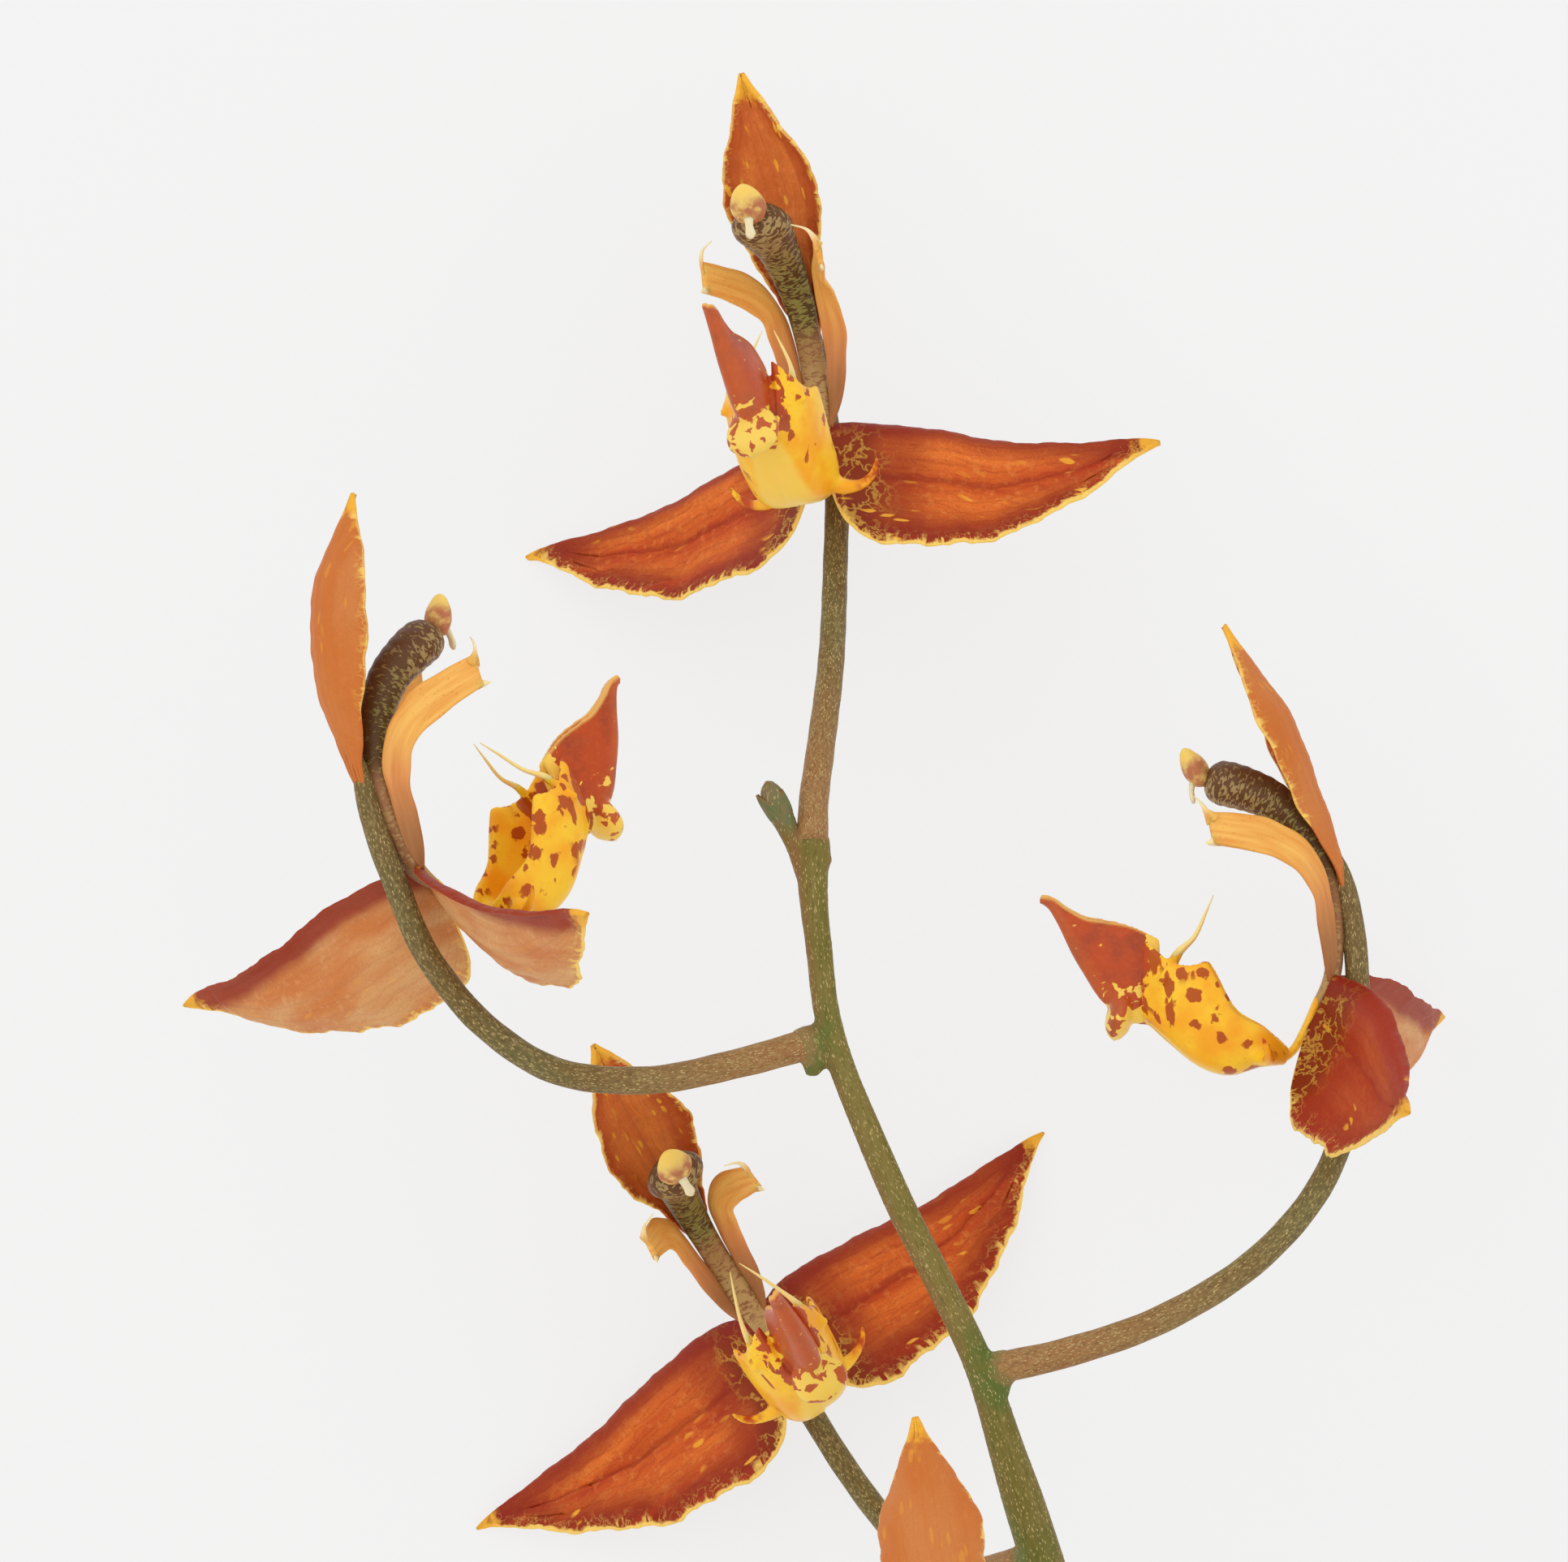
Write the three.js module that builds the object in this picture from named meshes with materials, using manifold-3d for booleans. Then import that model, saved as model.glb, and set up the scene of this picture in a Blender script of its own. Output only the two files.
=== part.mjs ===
// A cut gongora orchid stem with five flowers, lying on a surface.
// Millimetres. X runs across the stem, Y along it towards the end bud, Z up from the surface.
import * as THREE from 'three';
import { mergeVertices } from 'three/addons/utils/BufferGeometryUtils.js';
import Module from 'manifold-3d';

const wasm = await Module();
wasm.setup();

// Moves the stem's own origin, the end bud's tip, so that zero is the middle of the box's foot on the surface
const SHIFT = new THREE.Vector3(-3.354, 47.0155, 32.127);

const BLADE_THICKNESS = 0.64;
const PETAL_THICKNESS = 0.62;
const LIP_WALL = 0.7;
const TIP_HALF_WIDTH = 0.16;

// A flower's own frame: x across it, y up along its column, z forward over its lip
const SEPAL_ROOT_TOP = [1.3, -4.6, -7.6];
const SEPAL_ROOT_LOW = [1.3, -9.0, -5.8];
const DORSAL_ROOT = [0, 2.55, -7.98];
const DORSAL_TIP = [0, 20.2, 0.6];

// Each flower: where it sits, where its lip and its up point, its size, how far its dorsal sepal bows
// back, its lateral sepal tips in its own frame, and its stalk's way to the stem
const FLOWERS = [
  { name: 'top', at: [-0.5, 31.6, -12], lip: [-0.35, 0.1, 0.93], up: [-0.12, 0.98, -0.15],
    size: 1, bow: -0.8,
    tips: [[-26.5, -9.3, -13.3], [23.8, -9.7, -13.3]],
    stalk: [[3.75, 15.6, -16.5], [3.4, 8.6, -10.5], [2.6, 2.2, -4.8], [2.1, -1.6, -1.4]],
    root: [2.05, -3.35, -0.1] },
  { name: 'left', at: [-22, 1.3, 9], lip: [0.77, 0.39, -0.5], up: [-0.41, 0.91, 0.08],
    size: 1, bow: 1.0,
    tips: [[-23.6, -11.0, -9.1], [26.0, -8.4, -15.2]],
    stalk: [[-23.9, -13.1, 13], [-20.8, -16.8, 12.2], [-15.9, -20.1, 9.8], [-9.6, -20.9, 7.0],
      [-3.4, -19.9, 3.4]],
    root: [0.55, -18.9, 1.3] },
  { name: 'right', at: [32.05, -9.1, -6], lip: [-1, 0, -0.08], up: [0, 1, -0.02],
    size: 1, bow: -0.8,
    tips: [[-27.3, -8.1, -15.4], [22.0, -14.0, -12.4]],
    stalk: [[38.8, -27.6, -2.4], [33.8, -33.6, 0.2], [26.6, -38.0, 1.8], [19.8, -40.4, 1.5]],
    root: [16.5, -41.2, 0.9] },
  { name: 'lower', at: [-3.3, -35.9, -14], lip: [0.22, -0.09, 0.97], up: [-0.52, 0.83, 0.2],
    size: 1, bow: -0.6,
    tips: [[-25.1, -10.1, -19.7], [26.4, -7.6, -13.1]],
    stalk: [[4.5, -50.9, -24.4], [8.2, -55.4, -20.6], [11.8, -57.6, -13.6], [14.6, -56.6, -6.2]],
    root: [16.5, -55.6, -2.1] },
  { name: 'front', at: [12.9, -64.2, 18], lip: [0.15, 0.05, -0.985], up: [-0.19, 0.98, 0.02],
    size: 1.04, bow: -0.4,
    tips: [[-24.4, -7.8, -14.6], [24.4, -7.8, -14.6]],
    stalk: [[13.2, -83.0, 24.8], [17.6, -88.0, 18.0], [21.5, -88.0, 9.5], [24.4, -86.6, 2.2]],
    root: [25.7, -85.5, -1.7] },
];

const COLOURS = {
  stem: 0x7d782d,
  stalk: 0x695a32,
  sepal: 0xc85f28,
  petal: 0xebaa50,
  column: 0x7a5c3a,
  cap: 0xe0b060,
  lip: 0xfac83c,
};

const ACROSS = new THREE.Vector3(1, 0, 0);
const UPWARD = new THREE.Vector3(0, 1, 0);
const FORWARD = new THREE.Vector3(0, 0, 1);

const vec = (point) => new THREE.Vector3(...point);
const mirrored = (point, side) => vec([point[0] * side, point[1], point[2]]);

// The value of a smooth profile given as [place, value] pairs
function along(profile, t) {
  const last = profile.length - 1;
  let i = 0;
  while (i < last - 1 && t > profile[i + 1][0]) i += 1;
  const [t0, v0] = profile[i];
  const [t1, v1] = profile[i + 1];
  const k = THREE.MathUtils.clamp((t - t0) / (t1 - t0), 0, 1);
  const slope = (a, b) => (profile[b][1] - profile[a][1]) / (profile[b][0] - profile[a][0]);
  const m0 = slope(Math.max(i - 1, 0), i + 1) * (t1 - t0);
  const m1 = slope(i, Math.min(i + 2, last)) * (t1 - t0);
  const k2 = k * k;
  const k3 = k2 * k;
  return (2 * k3 - 3 * k2 + 1) * v0 + (k3 - 2 * k2 + k) * m0 + (3 * k2 - 2 * k3) * v1 + (k3 - k2) * m1;
}

// A closed mesh; its faces are turned over if they would enclose a negative volume
function geometryOf(points, faces) {
  let volume = 0;
  for (let i = 0; i < faces.length; i += 3) {
    volume += points[faces[i]].dot(points[faces[i + 1]].clone().cross(points[faces[i + 2]]));
  }
  if (volume < 0) faces.reverse();
  const geometry = new THREE.BufferGeometry();
  const coordinates = points.flatMap((p) => [p.x, p.y, p.z]);
  geometry.setAttribute('position', new THREE.Float32BufferAttribute(coordinates, 3));
  geometry.setIndex(faces);
  return geometry;
}

// A thin closed leaf: the same grid of triangles on its face and its back, joined round the edge
function blade(surface, [steps, across], thickness) {
  const at = (i, j) => surface(i / steps, j / across);
  const face = [];
  const back = [];
  const reach = 1e-3;
  for (let i = 0; i <= steps; i += 1) {
    for (let j = 0; j <= across; j += 1) {
      const u = i / steps;
      const v = j / across;
      const du = surface(Math.min(u + reach, 1), v).sub(surface(Math.max(u - reach, 0), v));
      const dv = surface(u, Math.min(v + reach, 1)).sub(surface(u, Math.max(v - reach, 0)));
      const normal = du.cross(dv).normalize().multiplyScalar(thickness / 2);
      face.push(at(i, j).add(normal));
      back.push(at(i, j).sub(normal));
    }
  }
  const row = across + 1;
  const count = face.length;
  const faces = [];
  for (let i = 0; i < steps; i += 1) {
    for (let j = 0; j < across; j += 1) {
      const a = i * row + j;
      const b = a + row;
      faces.push(a, b, b + 1, a, b + 1, a + 1);
      faces.push(count + a, count + b + 1, count + b, count + a, count + a + 1, count + b + 1);
    }
  }
  const rim = [];
  for (let j = 0; j < across; j += 1) rim.push(j);
  for (let i = 0; i < steps; i += 1) rim.push(i * row + across);
  for (let j = across; j > 0; j -= 1) rim.push(steps * row + j);
  for (let i = steps; i > 0; i -= 1) rim.push(i * row);
  rim.forEach((a, k) => {
    const b = rim[(k + 1) % rim.length];
    faces.push(a, b, count + b, a, count + b, count + a);
  });
  return geometryOf([...face, ...back], faces);
}

// A closed round or oval limb along a smooth curve: radii are [place, half width, half depth]
function limb(route, radii, steps, sides, across = ACROSS) {
  const bends = route.map((p) => (p.isVector3 ? p : vec(p)));
  const curve = new THREE.CatmullRomCurve3(bends, false, 'centripetal');
  const points = [];
  for (let i = 0; i <= steps; i += 1) {
    const u = i / steps;
    const centre = curve.getPointAt(u);
    const heading = curve.getTangentAt(u);
    const side = across.clone().addScaledVector(heading, -across.dot(heading)).normalize();
    const depth = new THREE.Vector3().crossVectors(heading, side);
    const halfWidth = along(radii.map((r) => [r[0], r[1]]), u);
    const halfDepth = along(radii.map((r) => [r[0], r[r.length - 1]]), u);
    for (let k = 0; k < sides; k += 1) {
      const angle = (k / sides) * 2 * Math.PI;
      points.push(centre.clone().addScaledVector(side, halfWidth * Math.cos(angle))
        .addScaledVector(depth, halfDepth * Math.sin(angle)));
    }
  }
  const faces = [];
  for (let i = 0; i < steps; i += 1) {
    for (let k = 0; k < sides; k += 1) {
      const a = i * sides + k;
      const b = i * sides + ((k + 1) % sides);
      faces.push(a, b, b + sides, a, b + sides, a + sides);
    }
  }
  const end = steps * sides;
  for (let k = 1; k < sides - 1; k += 1) {
    faces.push(0, k + 1, k);
    faces.push(end, end + k, end + k + 1);
  }
  return geometryOf(points, faces);
}

function solidOf(geometry) {
  const bare = geometry.clone();
  bare.deleteAttribute('normal');
  bare.deleteAttribute('uv');
  const merged = mergeVertices(bare, 1e-4);
  return new wasm.Manifold(new wasm.Mesh({
    numProp: 3,
    vertProperties: merged.attributes.position.array,
    triVerts: Uint32Array.from(merged.index.array),
  }));
}

function joined(geometries) {
  const mesh = geometries.map(solidOf).reduce((whole, next) => whole.add(next)).getMesh();
  const geometry = new THREE.BufferGeometry();
  geometry.setAttribute('position', new THREE.BufferAttribute(mesh.vertProperties.slice(), 3));
  geometry.setIndex(new THREE.BufferAttribute(mesh.triVerts.slice(), 1));
  return geometry;
}

function piece(name, geometry, colour, roughness = 0.55) {
  const material = new THREE.MeshStandardMaterial({ color: colour, roughness, metalness: 0 });
  const mesh = new THREE.Mesh(geometry, material);
  mesh.name = name;
  return mesh;
}

// A lateral sepal: a straight upper edge that rolls back, a deep belly below, hollow towards the front
const LATERAL = {
  upper: [[0, 2.1], [0.12, 2.8], [0.3, 2.7], [0.5, 1.8], [0.7, 1.0], [0.85, 0.65], [1, TIP_HALF_WIDTH]],
  lower: [[0, 2.8], [0.06, 6.2], [0.15, 7.8], [0.27, 8.2], [0.4, 7.9], [0.55, 7.2], [0.7, 5.3], [0.85, 2.6],
    [1, TIP_HALF_WIDTH]],
  hollow: 1.5,
  hollowFrom: 0.1,
  rollBack: 1.5,
  rollWidth: 0.3,
  opening: 0.6,
  openingReach: 1.15,
  sweep: 0.8,
  grid: [9, 5],
};

function lateralSurface(side, tipPoint) {
  const rootTop = mirrored(SEPAL_ROOT_TOP, side);
  const rootLow = mirrored(SEPAL_ROOT_LOW, side);
  const root = rootTop.clone().add(rootLow).multiplyScalar(0.5);
  const tip = vec(tipPoint);
  const axis = tip.clone().sub(root);
  const down = rootLow.clone().sub(rootTop);
  down.addScaledVector(axis, -down.dot(axis) / axis.lengthSq()).normalize();
  const front = new THREE.Vector3().crossVectors(axis, down).normalize().multiplyScalar(-side);
  return (u, v) => {
    const reach = THREE.MathUtils.lerp(-along(LATERAL.upper, u), along(LATERAL.lower, u), v);
    const open = Math.sin(Math.PI * Math.min(u * LATERAL.openingReach, 1)) ** LATERAL.opening;
    const roll = Math.max(0, 1 - v / LATERAL.rollWidth);
    const cup = Math.sin(Math.PI * Math.max(0, (v - LATERAL.hollowFrom) / (1 - LATERAL.hollowFrom)));
    const back = open * (LATERAL.rollBack * roll * roll + LATERAL.hollow * cup)
      + LATERAL.sweep * Math.sin(Math.PI * u);
    return root.clone().addScaledVector(axis, u).addScaledVector(down, reach).addScaledVector(front, -back);
  };
}

// The dorsal sepal: a boat-shaped leaf behind the column, its keel to the back
const DORSAL = {
  half: [[0, 0.5], [0.15, 1.5], [0.35, 3.0], [0.55, 3.5], [0.7, 3.0], [0.85, 1.6], [1, TIP_HALF_WIDTH]],
  widest: 3.5,
  keel: 2.1,
  grid: [8, 4],
};

function dorsalSurface(bow) {
  const root = vec(DORSAL_ROOT);
  const axis = vec(DORSAL_TIP).sub(root);
  const back = new THREE.Vector3(0, axis.z, -axis.y).normalize();
  return (u, v) => {
    const half = along(DORSAL.half, u);
    const place = 2 * v - 1;
    const keel = DORSAL.keel * (half / DORSAL.widest) * (1 - place * place);
    return root.clone().addScaledVector(axis, u).add(new THREE.Vector3(half * place, 0, 0))
      .addScaledVector(back, keel + bow * Math.sin(Math.PI * u));
  };
}

// A petal: a strap along the column that bends forward and out, cut obliquely, with an awn
const PETAL = {
  route: [[1.5, -3.6, -7.05], [1.55, -1.2, -6.85], [1.65, 1.5, -6.4], [1.9, 3.8, -5.0], [2.7, 5.0, -2.9],
    [3.7, 5.5, -0.6], [4.5, 5.7, 1.4]],
  half: [[0, 0.4], [0.15, 0.6], [0.3, 0.7], [0.48, 0.95], [0.69, 1.25], [1, 1.2]],
  lean: [[0, 1.4], [0.38, 0.95], [0.6, 0.35], [1, 0.1]],
  cutFrom: 0.8,
  cut: 0.7,
  awn: [[4.45, 6.45, 1.35], [4.1, 7.2, 2.0], [3.1, 7.9, 2.6]],
  awnRadii: [[0, 0.45], [0.5, 0.28], [1, 0.14]],
  grid: [8, 2],
};

function petalSurface(side) {
  const curve = new THREE.CatmullRomCurve3(PETAL.route.map((p) => mirrored(p, side)), false, 'centripetal');
  return (u, v) => {
    const lean = along(PETAL.lean, u);
    const rise = new THREE.Vector3(0, Math.cos(lean), -Math.sin(lean));
    const half = along(PETAL.half, u);
    const oblique = Math.max(0, u - PETAL.cutFrom) / (1 - PETAL.cutFrom);
    return curve.getPointAt(u).addScaledVector(rise, half * (2 * v - 1))
      .addScaledVector(FORWARD, oblique * (v - 0.5) * PETAL.cut);
  };
}

function petal(side) {
  const awn = PETAL.awn.map((p) => mirrored(p, side));
  const strap = blade(petalSurface(side), PETAL.grid, PETAL_THICKNESS);
  return joined([strap, limb(awn, PETAL.awnRadii, 3, 5, UPWARD)]);
}

// The column arches forward over the flower, and its foot runs down in front of the ovary
const COLUMN = {
  route: [[0, 9.2, 1.75], [0, 8.6, -0.7], [0, 7.7, -2.8], [0, 6.2, -4.5], [0, 4.2, -6.0], [0, 2.0, -6.85],
    [0, -0.8, -7.4], [0, -3.2, -7.4], [0, -5.2, -7.1], [0, -7.0, -6.05]],
  radii: [[0, 1.6, 1.3], [0.04, 1.85, 1.55], [0.15, 1.7, 1.5], [0.35, 1.3, 1.2], [0.45, 1.1, 0.85],
    [0.56, 0.9, 0.5], [0.7, 0.85, 0.42], [0.9, 0.8, 0.4], [1, 0.55, 0.4]],
};

const CAP = {
  route: [[0, 9.25, 2.15], [0, 9.9, 2.55], [0, 10.7, 3.05], [0, 11.45, 3.5]],
  radii: [[0, 0.9, 0.55], [0.3, 1.25, 0.8], [0.6, 1.15, 0.75], [0.85, 0.8, 0.5], [1, 0.3, 0.25]],
  tongue: [[0, 9.3, 2.7], [0, 8.4, 2.85], [0, 7.5, 2.7]],
  tongueRadii: [[0, 0.4, 0.3], [1, 0.35, 0.25]],
};

// The lip hangs from the foot's end by a thin claw: a trough with two horns and two bristles, and past it
// a blade folded up from a keel along its front, with a chin at the keel's foot
const LIP = {
  claw: [[0, -7.3, -5.9], [0, -8.8, -5.2], [0, -10.2, -4.4], [0, -10.7, -3.6], [0, -10.3, -2.6]],
  clawRadii: [[0, 0.55, 0.35], [0.4, 0.45, 0.3], [0.8, 0.7, 0.35], [1, 0.9, 0.5]],
  keel: [[0, -10.9], [0.2, -11.1], [0.4, -11.6], [0.6, -11.1], [0.8, -9.4], [1, -7.5]],
  rim: [[0, -9.9], [0.15, -8.5], [0.35, -7.2], [0.55, -3.9], [0.65, -3.6], [0.8, -4.0], [0.9, -3.2],
    [1, -2.4]],
  troughHalf: [[0, 0.7], [0.1, 2.3], [0.25, 3.2], [0.6, 3.3], [0.85, 2.8], [1, 2.2]],
  troughEnds: [-3.9, 6.2],
  troughSquareness: 4,
  troughGrid: [8, 6],
  bladeKeel: [[0, -8.0], [0.2, -7.6], [0.45, -5.8], [0.7, -2.7], [0.85, -0.7], [1, 0.4]],
  bladeTop: [[0, -2.6], [0.25, -1.6], [0.5, -0.9], [0.75, -0.5], [1, 0.75]],
  bladeHalf: [[0, 1.9], [0.3, 1.95], [0.45, 1.65], [0.6, 1.3], [0.8, 0.85], [0.93, 0.5], [1, 0.2]],
  bladeEnds: [5.2, 13.6],
  bladeClosing: 0.35,
  bladeGrid: [7, 6],
  chin: [[0, -6.4, 7.6], [0, -7.4, 7.8], [0, -8.4, 8.05], [0, -9.3, 8.25]],
  chinRadii: [[0, 1.9, 0.9], [0.4, 2.0, 0.95], [0.8, 1.7, 0.8], [1, 0.9, 0.4]],
  horn: [[1.9, -9.9, -2.2], [3.2, -10.6, -2.6], [4.5, -10.6, -2.9], [5.6, -9.9, -2.6]],
  hornRadii: [[0, 0.7], [0.5, 0.5], [1, 0.2]],
  bristle: [[2.7, -4.7, 4.5], [2.5, -3.3, 3.9], [2.0, -2.1, 2.75], [1.1, -0.35, 1.9], [0.45, 0.9, 1.3]],
  bristleRadii: [[0, 0.4], [0.4, 0.22], [1, 0.16]],
};

function troughSurface(u, v) {
  const turn = Math.PI * (v - 0.5);
  const across = Math.sin(turn);
  const down = Math.cos(turn);
  const power = LIP.troughSquareness;
  const stretch = (across ** power + down ** power) ** (-1 / power);
  const keel = along(LIP.keel, u);
  return new THREE.Vector3(along(LIP.troughHalf, u) * across * stretch,
    keel + (along(LIP.rim, u) - keel) * (1 - down * stretch), THREE.MathUtils.lerp(...LIP.troughEnds, u));
}

function foldedSurface(u, v) {
  const place = 2 * v - 1;
  const turn = (Math.PI / 2) * place;
  const closing = 1 - LIP.bladeClosing * Math.abs(place) ** 3;
  return new THREE.Vector3(along(LIP.bladeHalf, u) * Math.sin(turn) * closing,
    THREE.MathUtils.lerp(along(LIP.bladeKeel, u), along(LIP.bladeTop, u), 1 - Math.cos(turn)),
    THREE.MathUtils.lerp(...LIP.bladeEnds, u));
}

function lip() {
  const parts = [
    blade(troughSurface, LIP.troughGrid, LIP_WALL),
    blade(foldedSurface, LIP.bladeGrid, LIP_WALL),
    limb(LIP.claw, LIP.clawRadii, 5, 6),
    limb(LIP.chin, LIP.chinRadii, 4, 8),
  ];
  for (const side of [-1, 1]) {
    const mirror = (route) => route.map((p) => mirrored(p, side));
    parts.push(limb(mirror(LIP.horn), LIP.hornRadii, 4, 6, FORWARD));
    parts.push(limb(mirror(LIP.bristle), LIP.bristleRadii, 5, 5));
  }
  return joined(parts);
}

// The ovary runs up behind the column's foot, and the stalk goes on from it to the stem
const OVARY = [[0, 2.2, -8.0], [0, 0, -8.5], [0, -3.2, -8.9], [0, -6.0, -9.05], [0, -9.4, -9.2]];
const STALK_RADII = [[0, 0.5], [0.04, 0.6], [0.12, 0.72], [0.3, 0.85], [0.6, 0.95], [0.9, 1.05], [1, 1.1]];
const STALK_ACROSS = new THREE.Vector3(0.3, 0.2, 1);

function flowerFrame(flower) {
  const forward = vec(flower.lip).normalize();
  const up = vec(flower.up);
  up.addScaledVector(forward, -up.dot(forward)).normalize();
  const across = new THREE.Vector3().crossVectors(up, forward);
  return new THREE.Matrix4().makeBasis(across, up, forward).scale(new THREE.Vector3().setScalar(flower.size))
    .setPosition(vec(flower.at));
}

function bloom(flower) {
  const group = new THREE.Group();
  const frame = flowerFrame(flower);
  frame.decompose(group.position, group.quaternion, group.scale);
  const dorsal = blade(dorsalSurface(flower.bow), DORSAL.grid, BLADE_THICKNESS);
  group.add(piece(`${flower.name}_dorsal_sepal`, dorsal, COLOURS.sepal));
  [-1, 1].forEach((side, k) => {
    const hand = side < 0 ? 'left' : 'right';
    const sepal = blade(lateralSurface(side, flower.tips[k]), LATERAL.grid, BLADE_THICKNESS);
    group.add(piece(`${flower.name}_${hand}_sepal`, sepal, COLOURS.sepal));
    group.add(piece(`${flower.name}_${hand}_petal`, petal(side), COLOURS.petal));
  });
  group.add(piece(`${flower.name}_column`, limb(COLUMN.route, COLUMN.radii, 10, 8), COLOURS.column));
  const cap = joined([limb(CAP.route, CAP.radii, 4, 8), limb(CAP.tongue, CAP.tongueRadii, 2, 5)]);
  group.add(piece(`${flower.name}_anther_cap`, cap, COLOURS.cap));
  group.add(piece(`${flower.name}_lip`, lip(), COLOURS.lip));
  return group;
}

function stalk(flower) {
  const frame = flowerFrame(flower);
  const route = [...OVARY.map((p) => vec(p).applyMatrix4(frame)), ...flower.stalk.map(vec), vec(flower.root)];
  return piece(`${flower.name}_pedicel`, limb(route, STALK_RADII, 17, 7, STALK_ACROSS), COLOURS.stalk);
}

// The stem runs down from the top flower's stalk to the cut end, which rests on the surface
const STEM = {
  route: [[2.0, -4.55, 0], [2.0, -5.2, 0], [2.1, -8.5, 0], [2.5, -12, 0], [2.95, -16, 0], [3.95, -19.8, 0],
    [6.2, -25.4, 0], [8.5, -30.6, 0], [11.0, -35.5, 0], [13.7, -41.1, 0], [16.0, -48.1, 0], [18.3, -55.3, 0],
    [22.6, -70, -0.8], [27.2, -86, -4.4], [31, -104, -12.2], [33.6, -123, -21.2], [35.5, -145, -30.4]],
  radii: [[0, 1.1], [0.04, 1.0], [0.1, 0.95], [0.16, 1.05], [0.26, 1.1], [0.3, 1.3], [0.33, 1.5], [0.45, 1.65],
    [0.7, 1.8], [1, 1.9]],
  bud: [[2.0, -7.6, 0], [1.45, -6.3, 0], [0.75, -4.45, 0], [-0.05, -2.7, 0], [-0.8, -1.2, 0], [-1.0, 0, 0]],
  budRadii: [[0, 0.8], [0.35, 0.72], [0.6, 0.8], [0.8, 1.0], [0.93, 0.8], [1, 0.35]],
};

// The swelling under each stalk on the stem, and how far it reaches past the stalk's root and below it
const NODE = { past: 0.35, below: 2.3, radii: [[0, 0.4], [0.3, 0.95], [0.7, 1.25], [1, 1.1]] };

function swelling(flower, samples) {
  const root = vec(flower.root);
  const nearest = samples.reduce((best, p) => (p.distanceTo(root) < best.distanceTo(root) ? p : best));
  const out = root.clone().sub(vec(flower.stalk.at(-1))).setLength(NODE.past).add(root);
  const low = nearest.clone().lerp(root, 0.5).addScaledVector(UPWARD, -NODE.below);
  return limb([low, nearest.clone().lerp(out, 0.5), out], NODE.radii, 4, 7, FORWARD);
}

function stem() {
  const samples = new THREE.CatmullRomCurve3(STEM.route.map(vec), false, 'centripetal').getSpacedPoints(300);
  const parts = [limb(STEM.route, STEM.radii, 36, 9, FORWARD), limb(STEM.bud, STEM.budRadii, 8, 8, FORWARD)];
  for (const flower of FLOWERS.slice(1)) parts.push(swelling(flower, samples));
  return piece('stem', joined(parts), COLOURS.stem);
}

const orchid = new THREE.Group();
orchid.add(stem());
for (const flower of FLOWERS) {
  orchid.add(bloom(flower));
  orchid.add(stalk(flower));
}
orchid.position.copy(SHIFT);

export default orchid;
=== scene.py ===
"""The looks of a cut gongora orchid stem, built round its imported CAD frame.

Shapes are drawn in millimetres. A flower is drawn in its own frame, x across it, y up along its
column and z forward over its lip, then placed in the stem's frame and turned to metres.
"""

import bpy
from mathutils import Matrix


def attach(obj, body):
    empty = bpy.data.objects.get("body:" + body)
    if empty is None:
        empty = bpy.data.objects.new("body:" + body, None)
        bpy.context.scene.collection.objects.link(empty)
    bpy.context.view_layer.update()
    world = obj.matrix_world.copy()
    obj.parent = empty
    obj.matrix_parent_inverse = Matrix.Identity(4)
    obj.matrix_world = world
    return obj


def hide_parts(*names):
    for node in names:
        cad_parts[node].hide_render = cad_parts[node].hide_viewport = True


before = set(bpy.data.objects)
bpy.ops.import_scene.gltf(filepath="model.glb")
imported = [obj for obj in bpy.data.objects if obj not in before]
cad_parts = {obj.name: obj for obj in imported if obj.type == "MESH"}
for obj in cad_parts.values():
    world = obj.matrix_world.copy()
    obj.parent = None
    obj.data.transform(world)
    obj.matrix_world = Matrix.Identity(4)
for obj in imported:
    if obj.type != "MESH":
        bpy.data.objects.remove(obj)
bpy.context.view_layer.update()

import logging
from dataclasses import dataclass, field
from enum import Enum
from typing import Any, Callable

import bpy
import numpy as np
from mathutils import Vector

log = logging.getLogger("gongora")

Array = np.ndarray
Triple = tuple[float, float, float]
Pairs = tuple[tuple[float, ...], ...]
Surface = Callable[[Array, Array], Array]
Values = dict[str, Array]
Socket = bpy.types.NodeSocket
Sockets = dict[str, Socket]

MM = 0.001
BODY = "root"
# Moves the stem's own origin, the middle of the picture, so that zero is the middle of the box's foot
SHIFT = np.array((-3.354, 47.0155, 32.127))
SIDES = ((-1, "left"), (1, "right"))


def unit(vectors: Array) -> Array:
    """Vectors of length one.

    Args:
        vectors: any array whose last axis is x, y, z.

    Returns:
        The same directions, each of length one.
    """
    size = np.linalg.norm(vectors, axis=-1, keepdims=True)
    return vectors / np.maximum(size, 1e-12)


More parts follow.
